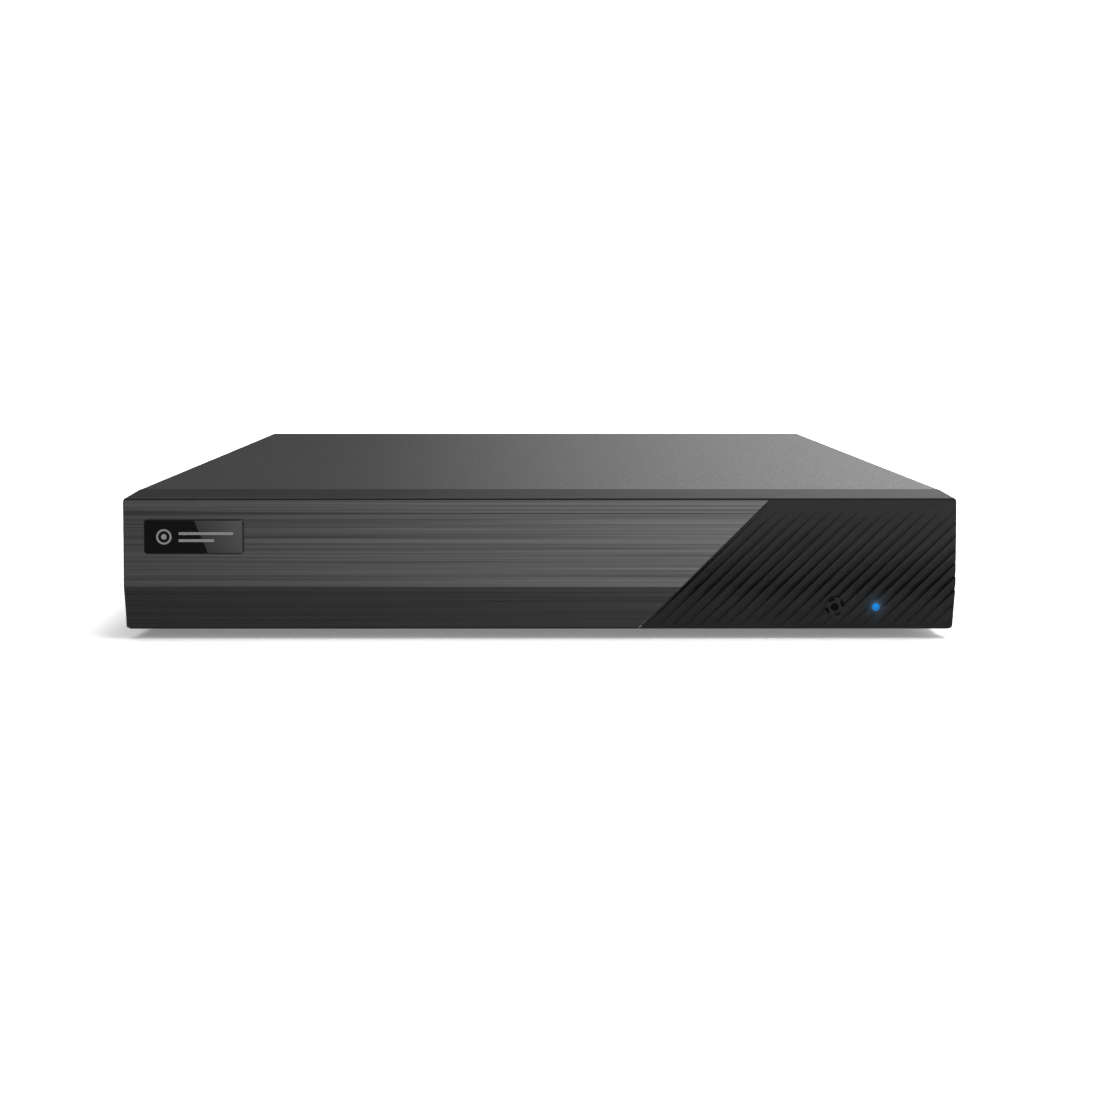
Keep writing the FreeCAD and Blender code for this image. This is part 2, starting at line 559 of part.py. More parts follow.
def brushed_panel():
    """A bent metal sheet let into the left of the bezel, with a bevel along its diagonal edge."""
    body = panel_blank("brushed_panel", "panel_front_y", "panel_front_y + panel_thick", 0)
    front = value("panel_front_y")
    furthest = front + value("lower_recede") / 2
    dress(body, "Chamfer", "panel_chamfer", lambda spot, along: abs(along.x) > 0.6 and abs(along.z) > 0.6
          and (near(spot.y, front) or (spot.z < value("bend_z") and spot.y < furthest)))
    node("brushed_panel", body)


def bezel_shell():
    """The moulding before its face is cut: tapered sides, rear lip, hollow back, screw bosses, and the crease
    between the sloping band and the face."""
    body = new_body("front_bezel")
    side = sketch(body, "YZ_Plane")
    low_y, top = "bezel_face_y + lower_recede", "case_top - cover_steel"
    polygon(side, [("bezel_face_y", "bend_z"), ("bezel_face_y", "bezel_top"),
                   ("bezel_back_y", "bezel_top + band_rise"), ("bezel_back_y", top), ("lip_y", top),
                   ("lip_y", "lip_bottom"), ("bezel_back_y", "lip_bottom"), ("bezel_back_y", "bezel_bottom"),
                   (low_y, "bezel_bottom")])
    pad(body, side, "bezel_width", both=True)
    plan = sketch(body, "XY_Plane")
    for hand in (-1, 1):
        outside = f"{hand}*(bezel_width/2 + over)"
        polygon(plan, [(outside, "bezel_face_y"), (f"{hand}*bezel_width/2", "bezel_face_y"),
                       (f"{hand}*bezel_back_width/2", "bezel_back_y"), (f"{hand}*lip_half", "bezel_back_y"),
                       (f"{hand}*lip_half", "lip_y + over"), (outside, "lip_y + over")])
    pocket(body, plan, "2*case_top", both=True)
    dress(body, "Chamfer", "wall_corner", lambda spot, along: abs(along.y) > 0.9 and near(spot.z, top)
          and near(abs(spot.x), "lip_half"))
    dress(body, "Fillet", "corner_radius", lambda spot, along: abs(along.y) > 0.9
          and spot.y < value("bezel_back_y") and abs(spot.x) > value("lip_half"))
    dress(body, "Fillet", "edge_radius", lambda spot, along: spot.y < value(low_y) + 0.1
          and abs(along.y) < 0.8 and not near(spot.z, "bend_z"))
    crease = sketch(body, "YZ_Plane")
    foot, outer, inner = "bezel_top - panel_inset", "bezel_face_y - over", "bezel_face_y + crease_depth"
    polygon(crease, [(outer, foot), (inner, foot), (inner, f"{foot} + crease_height"),
                     (outer, f"{foot} + crease_height")])
    pocket(body, crease, "bezel_width + over", both=True)
    hollow = sketch(body, "YZ_Plane")
    behind = "bezel_face_y + bezel_wall"
    polygon(hollow, [(behind, "bend_z"), (behind, "bezel_top - bezel_wall"),
                     ("bezel_back_y", f"{top} - lip_wall"), ("lip_y + over", f"{top} - lip_wall"),
                     ("lip_y + over", "lip_bottom + lip_wall"), ("bezel_back_y", "bezel_bottom + bezel_wall"),
                     (f"{low_y} + bezel_wall", "bezel_bottom + bezel_wall")])
    pocket(body, hollow, "2*cavity_half", both=True)
    places = [(f"{hand}*boss_x", level) for hand in (-1, 1) for level in ("boss_low_z", "boss_high_z")]
    bosses = sketch(body, "XZ_Plane", "-lip_y")
    for x, z in places:
        circle(bosses, x, z, "boss_radius")
    pad(body, bosses, "boss_length")
    pilots = sketch(body, "XZ_Plane", "-(lip_y - pilot_depth)")
    for x, z in places:
        circle(pilots, x, z, "pilot_radius")
    pocket(body, pilots, "pilot_depth")
    return body


def front_bezel():
    """The ribbed moulding, with a plain disc left around the infrared window and the light."""
    shell = bezel_shell()
    posts = []
    for x in ("post_left_x", "post_right_x"):
        inside = "bezel_face_y + bezel_wall/2"
        posts.append(rod(x, inside, "post_z", "post_radius", f"front_board_y - ({inside})", "y"))
        behind = "front_board_y + board_thick"
        posts.append(rod(x, inside, "post_z", "pin_radius", f"{behind} + pin_head_length - ({inside})", "y"))
        posts.append(rod(x, behind, "post_z", "pin_head", "pin_head_length", "y"))
    recess = panel_blank("panel_recess", "panel_front_y - over", "panel_front_y + panel_thick", "panel_gap")
    tools = []
    for x, radius in (("window_x", "window_radius"), ("light_x", "light_radius")):
        hole = rod(0, 0, 0, f"{radius} + lens_gap", "2*lens_length")
        tools.append(on_lower_face(hole, x, "lens_z", "-lens_length"))
    for quarter in range(4):
        ring = bind(doc.addObject("Part::Torus", "arc"), Radius1="arc_ring", Radius2="arc_groove",
                    Angle3="arc_sweep")
        spin = value("arc_first") + 90 * quarter
        tools.append(on_lower_face(ring, "window_x", "lens_z", 0, spin))
    pads = [on_lower_face(rod(0, 0, 0, radius, "bezel_wall/2"), x, "lens_z")
            for x, radius in (("window_x", "window_pad"), ("light_x", "light_pad"))]
    ribbed = cut(cut(fuse(shell, *posts), recess), *rib_grooves())
    node("front_bezel", cut(fuse(ribbed, *pads), *tools))


def badge_plate():
    body = new_body("badge_plate")
    face = sketch(body, "XZ_Plane", "-panel_front_y")
    rectangle(face, "badge_left + badge_width/2", "badge_low + badge_height/2", "badge_width", "badge_height")
    pad(body, face, "badge_thick")
    dress(body, "Fillet", "badge_corner", lambda spot, along: abs(along.y) > 0.9)
    dress(body, "Fillet", "badge_edge", lambda spot, along: near(spot.y, "panel_front_y - badge_thick"))
    node("badge_plate", body)


def lens(name, x, radius):
    """A clear rod through the lower face, with a collar behind the wall."""
    stem = rod(0, 0, 0, radius, "lens_proud + lens_length")
    on_lower_face(stem, x, "lens_z", "-lens_proud")
    collar = rod(0, 0, 0, f"{radius} + lens_collar", "lens_collar_length")
    on_lower_face(collar, x, "lens_z", "bezel_wall + lens_collar_gap")
    node(name, fuse(stem, collar))


def front_board():
    board = block("front_board_x", "front_board_y", "front_board_z", "front_board_length", "board_thick",
                  "front_board_height")
    header = centred("ribbon_x", "front_board_y + board_thick", "front_header_z", "header_width",
                     "front_header_depth", "header_height")
    holes = [rod(x, "front_board_y - over", "post_z", "pin_radius", "board_thick + 2*over", "y")
             for x in ("post_left_x", "post_right_x")]
    node("front_board", cut(fuse(board, header), *holes))
    node("power_led", centred("light_x", "front_board_y - led_depth", "lens_z + device_lift", "led_size",
                              "led_depth", "led_size"))
    node("ir_receiver", centred("window_x", "front_board_y - receiver_depth", "lens_z + device_lift",
                                "receiver_width", "receiver_depth", "receiver_height"))


# ---------------------------------------------------------------- leads

def route(points, radius_share=0.45):
    """Straight runs joined by arcs as large as the two runs beside each corner allow."""
    edges, start = [], points[0]
    for before, corner, after in zip(points, points[1:], points[2:]):
        back, ahead = before - corner, after - corner
        reach = radius_share * min(back.Length, ahead.Length)
        enter = corner + back.normalize() * reach
        leave = corner + ahead.normalize() * reach
        half_turn = back.getAngle(ahead) / 2
        radius = reach * math.tan(half_turn)
        middle = (enter + leave) / 2 - corner
        centre = corner + middle.normalize() * (radius / math.sin(half_turn))
        crown = centre + (corner - centre).normalize() * radius
        edges.append(Part.LineSegment(start, enter).toShape())
        edges.append(Part.Arc(enter, crown, leave).toShape())
        start = leave
    edges.append(Part.LineSegment(start, points[-1]).toShape())
    return Part.Wire(edges)


def swept(name, path, section):
    """A Part::Feature holding the section carried along the path; its volume must match the length."""
    solid = path.makePipeShell([section], True, True)
    face_area = Part.Face(section).Area
    expected = face_area * path.Length
    if abs(solid.Volume - expected) > 0.02 * expected:
        raise ValueError(f"{name}: the sweep lost volume")
    feature = doc.addObject("Part::Feature", name)
    feature.Shape = solid
    feature.Placement = Placement()
    return feature


def drive_cable(name, port_x, plug_y, port_width):
    """A round lead from the drive's end to a socket on the main board, with a plug at each end."""
    drive_end = "drive_x + drive_length"
    port_front = "board_front"
    level = value("port_z")
    corner = [("plug_depth + " + drive_end, plug_y), (port_x, plug_y), (port_x, f"{port_front} - plug_depth")]
    path = route([Vector(value(x), value(y), level) for x, y in corner])
    section = Part.Wire(Part.Circle(path.Vertexes[0].Point, X_AXIS, value("cable_radius")).toShape())
    lead = swept(f"{name}_lead", path, section)
    drive_plug = block(drive_end, f"{plug_y} - {port_width}/2", "port_z - port_height/2", "plug_depth",
                       port_width, "port_height")
    board_plug = centred(port_x, f"{port_front} - plug_depth", "port_z", port_width, "plug_depth",
                         "port_height")
    node(name, fuse(lead, drive_plug, board_plug))


def front_ribbon_cable():
    """A flat lead over the floor, from the small board's header to the main board's."""
    x, half = value("ribbon_x"), value("ribbon_width") / 2
    front_y = value("front_board_y + board_thick + front_header_depth")
    floor = value("floor_z + ribbon_over_floor")
    front_z, back_z = value("front_header_z"), value("back_header_z")
    places = [(front_y, front_z), (front_y + value("ribbon_start"), front_z),
              (front_y + value("ribbon_drop"), floor),
              (value("board_front - ribbon_rise"), floor), (value("board_front - ribbon_end"), back_z),
              (value("board_front"), back_z)]
    path = route([Vector(x, y, z) for y, z in places])
    thick = value("ribbon_thick") / 2
    corners = [Vector(x + i * half, front_y, front_z + j * thick)
               for i, j in ((-1, -1), (1, -1), (1, 1), (-1, 1), (-1, -1))]
    node("front_ribbon_cable", swept("ribbon", path, Part.makePolygon(corners)))


# ---------------------------------------------------------------- main board

def main_board():
    body = new_body("main_board")
    outline = sketch(body, "XY_Plane", "board_z")
    rectangle(outline, 0, "board_front + board_depth/2", "board_width", "board_depth")
    pad(body, outline, "board_thick")
    holes = sketch(body, "XY_Plane", "board_z")
    for x, y in board_studs():
        circle(holes, x, y, "screw_radius + screw_gap")
    pocket(body, holes, "board_thick", back=True)
    header = centred("ribbon_x", "board_front", "back_header_z", "header_width", "back_header_depth",
                     "2*(back_header_z - board_z - board_thick)")
    node("main_board", fuse(body, header))


def on_board(x, y, length, width, height):
    """A block on the main board, centred on (x, y)."""
    return block(f"({x}) - ({length})/2", f"({y}) - ({width})/2", "board_z + board_thick", length, width,
                 height)


def chips():
    node("processor_chip", on_board("chip_x", "chip_y", "chip_size", "chip_size", "chip_thick"))
    node("memory_chips", group(*[
        on_board("memory_x", f"memory_y + {number}*memory_pitch", "memory_length", "memory_width",
                 "memory_thick") for number in range(4)]))
    node("capacitors", group(*[
        rod("capacitor_x", f"capacitor_y + {number}*capacitor_pitch", "board_z + board_thick",
            "capacitor_radius", "capacitor_height") for number in range(4)]))


def heatsink():
    """A finned block on the processor."""
    body = new_body("heatsink")
    face = sketch(body, "XZ_Plane", "-(chip_y - sink_size/2)")
    low = "board_z + board_thick + chip_thick"
    rectangle(face, "chip_x", f"{low} + sink_height/2", "sink_size", "sink_height")
    pad(body, face, "sink_size", back=True)
    gap = sketch(body, "XZ_Plane", "-(chip_y - sink_size/2)")
    pitch = "(sink_size - fin_gap)/fin_count"
    rectangle(gap, f"chip_x - sink_size/2 + {pitch}/2 + fin_gap/2",
              f"{low} + (sink_height + sink_floor)/2", "fin_gap", "sink_height - sink_floor")
    first = pocket(body, gap, "sink_size")
    repeat(body, first, "X_Axis", f"{pitch}*(fin_count - 1)", "fin_count")
    node("heatsink", body)


def coin_cell():
    cell_low = "board_z + board_thick + holder_floor"
    holder = on_board("cell_x", "cell_y", "holder_size", "holder_size", "holder_height")
    room = rod("cell_x", "cell_y", cell_low, "cell_radius + cell_gap", "holder_height")
    node("coin_cell_holder", cut(holder, room))
    node("coin_cell", rod("cell_x", "cell_y", cell_low, "cell_radius", "cell_thick"))


def buzzer():
    can = rod("buzzer_x", "buzzer_y", "board_z + board_thick", "buzzer_radius", "buzzer_height")
    hole = rod("buzzer_x", "buzzer_y", "board_z + board_thick + buzzer_height/2", "buzzer_hole",
               "buzzer_height")
    node("buzzer", cut(can, hole))


def drive_ports():
    for name in ("data", "power"):
        node(f"sata_{name}_port", block(
            f"{name}_port_x - {name}_port_width/2", "board_front", "board_z + board_thick",
            f"{name}_port_width", "port_depth", "2*(port_z - board_z - board_thick)"))


# ---------------------------------------------------------------- rear sockets

def bnc_barrel(x, z):
    """A bayonet barrel: shell, lugs, insulating core and centre contact, all along Y."""
    inner, length = "rear_y - sheet_steel", "bnc_end_y - rear_y + sheet_steel"
    shell = fuse(rod(x, inner, z, "bnc_radius", length, "y"),
                 rod(x, f"{inner} + sheet_steel", z, "bnc_flange", "bnc_flange_length", "y"))
    shell = cut(shell, rod(x, "bnc_end_y - bnc_bore_depth", z, "bnc_bore", "bnc_bore_depth + over", "y"))
    lug = rod(f"({x}) - bnc_lug_reach", "bnc_end_y - bnc_lug_back", z, "bnc_lug_radius", "2*bnc_lug_reach",
              "x")
    lugs = cut(lug, rod(x, inner, z, "(bnc_radius + bnc_bore)/2", length, "y"))
    core = cut(rod(x, "bnc_end_y - bnc_bore_depth", z, "bnc_core", "bnc_bore_depth - bnc_core_back", "y"),
               rod(x, "bnc_end_y - bnc_bore_depth + over", z, "bnc_contact", "bnc_bore_depth", "y"))
    return fuse(shell, lugs, core)


def video_sockets():
    """Four stacked pairs of bayonet sockets, and the moulded blocks that carry them."""
    housings = []
    for stack in range(4):
        x = f"bnc_first_x - {stack}*bnc_pitch"
        node(f"bnc_socket_pair_{stack + 1}", group(bnc_barrel(x, "bnc_low_z"), bnc_barrel(x, "bnc_high_z")))
        low = "(board_z + board_thick)"
        housings.append(centred(x, "rear_y - sheet_steel - housing_depth", f"({low} + housing_top)/2",
                                "housing_width", "housing_depth", f"housing_top - {low}"))
    node("bnc_housings", group(*housings))


def audio_sockets():
    """A stacked pair of phono sockets: one moulding with two collars, two plated shells."""
    inner, low = "rear_y - sheet_steel", "(board_z + board_thick)"
    moulding = [centred("audio_x", f"{inner} - housing_depth", f"({low} + housing_top)/2", "audio_width",
                        "housing_depth", f"housing_top - {low}")]
    shells, bores = [], []
    for level in ("bnc_low_z", "bnc_high_z"):
        collar_length = "sheet_steel + audio_collar_length"
        moulding.append(rod("audio_x", inner, level, "audio_collar", collar_length, "y"))
        moulding.append(rod("audio_x", inner, level, "audio_core", "audio_end_y - rear_y", "y"))
        bores.append(rod("audio_x", inner, level, "audio_contact", "audio_end_y - rear_y + over", "y"))
        start = "rear_y + audio_collar_length"
        shell = rod("audio_x", start, level, "audio_radius", f"audio_end_y - ({start})", "y")
        room = rod("audio_x", f"({start}) - over", level, "audio_radius - audio_wall",
                   "audio_end_y - rear_y + 2*over", "y")
        shells.append(cut(shell, room))
    node("audio_jack_housing", cut(fuse(*moulding), *bores))
    node("audio_jack_shells", group(*shells))


def vga_outline(body, offset, shrink):
    """The tapered outline of a D-shaped shell."""
    drawing = sketch(body, "XZ_Plane", offset)
    top, low, high = f"vga_top_width/2 - {shrink}", f"vga_low_width/2 - {shrink}", f"vga_height/2 - {shrink}"
    polygon(drawing, [(f"vga_x - ({low})", f"vga_z - ({high})"), (f"vga_x + ({low})", f"vga_z - ({high})"),
                      (f"vga_x + ({top})", f"vga_z + ({high})"), (f"vga_x - ({top})", f"vga_z + ({high})")])
    return drawing


def vga_port():
    """The shell with its insert and fifteen contact holes, on a body behind the rear wall."""
    body = new_body("vga_port")
    plate = sketch(body, "XZ_Plane", "-(rear_y - sheet_steel)")
    rectangle(plate, "vga_x", "vga_z", "vga_plate_width", "vga_plate_height")
    pad(body, plate, "vga_body_depth")
    pad(body, vga_outline(body, "-(rear_y - sheet_steel)", 0), "sheet_steel + vga_reach", back=True)
    dress(body, "Fillet", "vga_wall", lambda spot, along: abs(along.y) > 0.9 and spot.y > value("rear_y"))
    pocket(body, vga_outline(body, "-(rear_y + vga_reach - vga_core_back)", "vga_wall"), "vga_reach")
    contacts = sketch(body, "XZ_Plane", "-(rear_y + over)")
    for line in (-1, 0, 1):
        for step in range(5):
            across = f"vga_x + ({step} - 2 + {line}/4)*vga_pin_pitch"
            circle(contacts, across, f"vga_z + {line}*vga_row_pitch", "vga_pin")
    pocket(body, contacts, "vga_reach")
    clear = sketch(body, "XZ_Plane", "-(rear_y - sheet_steel - vga_body_depth)")
    for side in (-1, 1):
        circle(clear, f"vga_x + {side}*jackscrew_pitch/2", "vga_z", "jackscrew_stem")
    pocket(body, clear, "vga_body_depth + sheet_steel")
    node("vga_port", body)
    posts = []
    for side in (-1, 1):
        x = f"vga_x + {side}*jackscrew_pitch/2"
        nut = new_body("jackscrew")
        face = sketch(nut, "XZ_Plane", "-rear_y")
        polygon(face, [(f"{x} + jackscrew_radius*cos({60 * corner})",
                        f"vga_z + jackscrew_radius*sin({60 * corner})") for corner in range(6)])
        pad(nut, face, "jackscrew_length", back=True)
        stem = rod(x, "rear_y - sheet_steel - vga_body_depth/2", "vga_z", "jackscrew_stem",
                   "vga_body_depth/2 + sheet_steel", "y")
        hole = rod(x, "rear_y + over", "vga_z", "jackscrew_hole", "jackscrew_length", "y")
        posts.append(cut(fuse(nut, stem), hole))
    node("vga_jackscrews", group(*posts))


def hdmi_port():
    reach, low = "rear_y + socket_reach", "hdmi_z"
    shell = centred("hdmi_x", f"{reach} - hdmi_depth", low, "hdmi_width", "hdmi_depth", "hdmi_height")
    room = centred("hdmi_x", f"{reach} - hdmi_depth + hdmi_back", low, "hdmi_width - 2*hdmi_wall",
                   "hdmi_depth", "hdmi_height - 2*hdmi_wall")
    tongue = centred("hdmi_x", f"{reach} - hdmi_depth", low, "hdmi_tongue_width",
                     "hdmi_depth - hdmi_tongue_back", "hdmi_tongue_thick")
    node("hdmi_port", fuse(cut(shell, room), tongue))


def lan_port():
    """A shielded network socket, open to the rear, with its latch notch at the top."""
    face, low = "rear_y + socket_reach", "board_z + board_thick"
    shell = centred("lan_x", f"{face} - lan_depth", f"{low} + lan_height/2", "lan_width", "lan_depth",
                    "lan_height")
    room = centred("lan_x", f"{face} - lan_socket_depth", f"{low} + lan_socket_low + lan_socket_height/2",
                   "lan_socket_width", "lan_socket_depth + over", "lan_socket_height")
    notch_z = f"{low} + lan_socket_low + lan_socket_height + lan_latch_height/2"
    notch = centred("lan_x", f"{face} - lan_socket_depth", f"{notch_z} - lan_latch_lap", "lan_latch_width",
                    "lan_socket_depth + over", "lan_latch_height + 2*lan_latch_lap")
    node("lan_port", cut(shell, room, notch))


def usb_stack():
    """Two flat sockets above each other, each with its contact tongue."""
    face, low = "rear_y + socket_reach", "board_z + board_thick"
    shell = centred("usb_x", f"{face} - usb_depth", f"{low} + usb_height/2", "usb_width", "usb_depth",
                    "usb_height")
    rooms, tongues = [], []
    for level in range(2):
        middle = f"{low} + usb_slot_low + usb_slot_height/2 + {level}*usb_slot_pitch"
        rooms.append(centred("usb_x", f"{face} - usb_slot_depth", middle, "usb_slot_width",
                             "usb_slot_depth + over", "usb_slot_height"))
        tongues.append(centred("usb_x", f"{face} - usb_slot_depth - over", f"{middle} + usb_tongue_thick/2",
                               "usb_slot_width - 2*usb_wall", "usb_slot_depth", "usb_tongue_thick"))
    node("usb_stack", fuse(cut(shell, *rooms), *tongues))


def control_terminal():
    """A two-way spring terminal: wire holes below, a push lever above each."""
    face, low = "rear_y + terminal_reach", "board_z + board_thick"
    base = centred("terminal_x", f"{face} - terminal_depth", f"{low} + terminal_height/2",
                   "terminal_width", "terminal_depth", "terminal_height")
    tools = []
    for number, side in ((1, -1), (2, 1)):
        x = f"terminal_x + {side}*terminal_pitch/2"
        tools.append(rod(x, f"{face} - wire_hole_depth", f"{low} + wire_hole_z", "wire_hole",
                         "wire_hole_depth + over", "y"))
        tools.append(centred(x, f"{face} - lever_pocket", f"{low} + lever_z", "lever_width + 2*lever_gap",
                             "lever_pocket + over", "lever_height + 2*lever_gap"))
        node(f"rs485_lever_{number}", centred(
            x, f"{face} + lever_reach - lever_length", f"{low} + lever_z", "lever_width", "lever_length",
            "lever_height"))
    node("rs485_terminal", cut(base, *tools))


def power_inlet():
    face, low = "rear_y + inlet_reach", "board_z + board_thick"
    middle = f"{low} + inlet_height/2"
    base = centred("inlet_x", f"{face} - inlet_depth", middle, "inlet_width", "inlet_depth", "inlet_height")
    bore = rod("inlet_x", f"{face} - inlet_bore_depth", middle, "inlet_bore", "inlet_bore_depth + over", "y")
    contact = rod("inlet_x", f"{face} - inlet_bore_depth - over", middle, "inlet_pin",
                  "inlet_bore_depth + over - inlet_pin_back", "y")
    node("dc_power_jack", fuse(cut(base, bore), contact))


def power_switch():
    """A snap-in housing, and a rocker that tips about a cross pin in it."""
    inner = "rear_y - switch_depth"
    housing = fuse(
        centred("switch_x", inner, "switch_z", "switch_width", "switch_depth + switch_lap", "switch_height"),
        centred("switch_x", "rear_y", "switch_z", "switch_width + 2*switch_flange", "switch_flange_thick",
                "switch_height + 2*switch_flange"))
    face = "rear_y + switch_flange_thick"
    well = centred("switch_x", f"{face} - switch_well_depth", "switch_z", "switch_well_width",
                   "switch_well_depth + over", "switch_well_height")
    axis_y = "rear_y + switch_flange_thick - rocker_axis_in"
    pin_length = "rocker_width + 2*rocker_pin_end"
    seat = rod("switch_x - rocker_width/2 - rocker_pin_end - rocker_pin_gap", axis_y, "switch_z",
               "rocker_pin + rocker_pin_gap", f"{pin_length} + 2*rocker_pin_gap", "x")
    node("power_switch_body", cut(housing, well, seat))

    body = new_body("power_rocker")
    side = sketch(body, "YZ_Plane")
    half, proud = value("switch_well_height/2 - rocker_side_gap"), value("rocker_face")
    axis = value(axis_y)
    tilt = math.radians(value("rocker_tilt"))
    under, skirt, dip = value("-rocker_under"), value("-rocker_skirt"), proud - value("rocker_dip")
    shoulder = half * value("rocker_skirt_share")
    outline = [(under, 0), (skirt, -shoulder), (proud, -half), (dip, 0), (proud, half), (skirt, shoulder)]
    turned = [(y * math.cos(tilt) - z * math.sin(tilt), y * math.sin(tilt) + z * math.cos(tilt))
              for y, z in outline]
    polygon(side, [(f"{axis_y} + {y}", f"switch_z + {z}") for y, z in turned])
    pad(body, side, "rocker_width", both=True)
    put(body, "switch_x")
    pin = rod(f"switch_x - ({pin_length})/2", axis_y, "switch_z", "rocker_pin", pin_length, "x")
    node("power_rocker", fuse(body, pin))


# ---------------------------------------------------------------- fan

def fan():
    """A square frame with four struts and a motor plate, and the bladed rotor that turns on it."""
    front = "rear_y - sheet_steel - fan_thick"
    frame = centred("fan_x", front, "fan_z", "fan_size", "fan_thick", "fan_size")
    duct = rod("fan_x", f"{front} - over", "fan_z", "fan_duct", "fan_thick + 2*over", "y")
    holes = [rod(x, f"{front} - over", z, "fan_screw_radius + screw_gap", "fan_thick + 2*over", "y")
             for x, z in corners_of("fan_x", "fan_z", "fan_hole_pitch/2", "fan_hole_pitch/2")]
    plate = rod("fan_x", front, "fan_z", "fan_hub", "fan_motor_thick", "y")
    struts = [centred("fan_x", front, "fan_z", "2*fan_duct + over", "fan_motor_thick", "fan_strut"),
              centred("fan_x", front, "fan_z", "fan_strut", "fan_motor_thick", "2*fan_duct + over")]
    bearing = rod("fan_x", f"{front} - over", "fan_z", "fan_axle + fan_axle_gap", "fan_thick", "y")
    node("fan_frame", cut(fuse(cut(frame, duct, *holes), plate, *struts), bearing))

    inside = rod("fan_x", "fan_rotor_front - over", "fan_z", "fan_hub - fan_cup_wall", "fan_rotor_length",
                 "y")
    cup = cut(rod("fan_x", "fan_rotor_front", "fan_z", "fan_hub", "fan_rotor_length", "y"), inside)
    axle = rod("fan_x", f"{front} + fan_axle_end", "fan_z", "fan_axle",
               f"fan_rotor_front + fan_rotor_length - ({front}) - fan_axle_end", "y")
    room = rod("fan_x", "fan_rotor_front", "fan_z", "fan_tip", "fan_rotor_length", "y")
    blades = []
    for number in range(int(value("fan_blade_count"))):
        blade = bind(doc.addObject("Part::Box", "blade"), Length="fan_blade_chord", Width="fan_blade_thick",
                     Height="fan_tip")
        middle = Vector(value("-fan_blade_chord/2"), value("-fan_blade_thick/2"), 0)
        spin = Rotation(Y_AXIS, 360 / value("fan_blade_count") * number)
        turn = spin * Rotation(Z_AXIS, value("fan_blade_tilt"))
        centre = Vector(value("fan_x"), value("fan_rotor_front + fan_rotor_length/2"), value("fan_z"))
        start = spin.multVec(Vector(0, 0, value("fan_hub - fan_cup_wall/2")))
        blade.Placement = Placement(centre + start + turn.multVec(middle), turn)
        blades.append(blade)
    node("fan_rotor", fuse(cup, axle, common(fuse(*blades), room)))


# ---------------------------------------------------------------- hard drive

def drive_base():
    """The cast body: a round room for the discs, an open room for the arm, and two fixed axles."""
    top = "drive_z + drive_height - drive_lid"
    low = "drive_z + drive_board_room"
    middle_y = "drive_y + drive_width/2"
    casting = block("drive_x", "drive_y", low, "drive_length", "drive_width", f"{top} - ({low})")
    rails = [block("drive_x", y, "drive_z", "drive_length", "rail_width", "drive_board_room")
             for y in ("drive_y", "drive_y + drive_width - rail_width")]
    disc_room = rod("disc_x", middle_y, "drive_floor_z", "disc_room", "drive_height")
    arm_room = block("disc_x", "drive_y + 2*drive_wall", "drive_floor_z",
                     "drive_x + drive_length - drive_wall - drive_socket_depth - disc_x",
                     "drive_width - 4*drive_wall", "drive_height")
    notch = block("drive_x + drive_length - drive_socket_depth", "power_plug_y - power_port_width/2 - over",
                  low, "drive_socket_depth + over",
                  "data_plug_y + data_port_width/2 - power_plug_y + power_port_width/2 + 2*over",
                  f"drive_socket_low + drive_socket_height - ({low})")
    holes = [rod(x, y, "floor_z", "screw_radius + screw_gap", "mount_screw_length + mount_hole_spare")
             for x, y in drive_mounts()]
    holes += [rod(x, y, f"{top} + drive_lid - lid_screw_length", "lid_screw_radius", "lid_screw_length")
              for x, y in lid_screw_places()]
    axles = [rod(x, y, "drive_floor_z - over", "axle_radius", "axle_top_z - drive_floor_z + over")
             for x, y in (("disc_x", middle_y), ("arm_x", "arm_y"))]
    node("hdd_base", fuse(cut(fuse(casting, *rails), disc_room, arm_room, notch, *holes), *axles))


def lid_screw_places():
    inset = "lid_screw_inset"
    return [(f"drive_x + {inset}", f"drive_y + {inset}"),
            (f"drive_x + {inset}", f"drive_y + drive_width - {inset}"),
            ("drive_x + drive_length/2", "drive_y + drive_wall"),
            ("drive_x + drive_length/2", "drive_y + drive_width - drive_wall"),
            (f"drive_x + drive_length - {inset}/2", f"drive_y + {inset}/2"),
            (f"drive_x + drive_length - {inset}/2", f"drive_y + drive_width - {inset}/2")]


def drive_lid():
    low = "drive_z + drive_height - drive_lid"
    lid = block("drive_x", "drive_y", low, "drive_length", "drive_width", "drive_lid")
    holes = [rod(x, y, f"{low} - over", "lid_screw_radius", "drive_lid + 2*over")
             for x, y in lid_screw_places()]
    node("hdd_cover", cut(lid, *holes))


def drive_discs():
    """The spindle hub on its fixed axle, and the two discs it carries."""
    middle_y = "drive_y + drive_width/2"
    hub = fuse(rod("disc_x", middle_y, "hub_low_z", "disc_hole", "hub_top_z - hub_low_z"),
               rod("disc_x", middle_y, "hub_top_z", "hub_cap", "hub_cap_thick"))
    bore = rod("disc_x", middle_y, "hub_low_z - over", "axle_radius + axle_gap",
               "hub_top_z - hub_low_z + 5*over")
    node("hdd_spindle", cut(hub, bore))
    discs = []
    for number in range(2):
        low = f"disc_low_z + {number}*disc_pitch"
        discs.append(cut(rod("disc_x", middle_y, low, "disc_radius", "disc_thick"),
                         rod("disc_x", middle_y, f"{low} - over", "disc_hole", "disc_thick + 2*over")))
    node("hdd_platters", group(*discs))


def sector(low, thick, inner, outer, half_angle, middle):
    """A ring sector about the arm's axle."""
    wedge = []
    for radius in (outer, inner):
        disc = bind(doc.addObject("Part::Cylinder", "sector"), Radius=radius, Height=thick,
                    Angle=f"2*({half_angle})")
        turn = Rotation(Z_AXIS, middle - value(half_angle))
        wedge.append(put(disc, "arm_x", "arm_y", low, turn))
    whole = bind(wedge[1], Angle=360)
    return cut(wedge[0], whole)


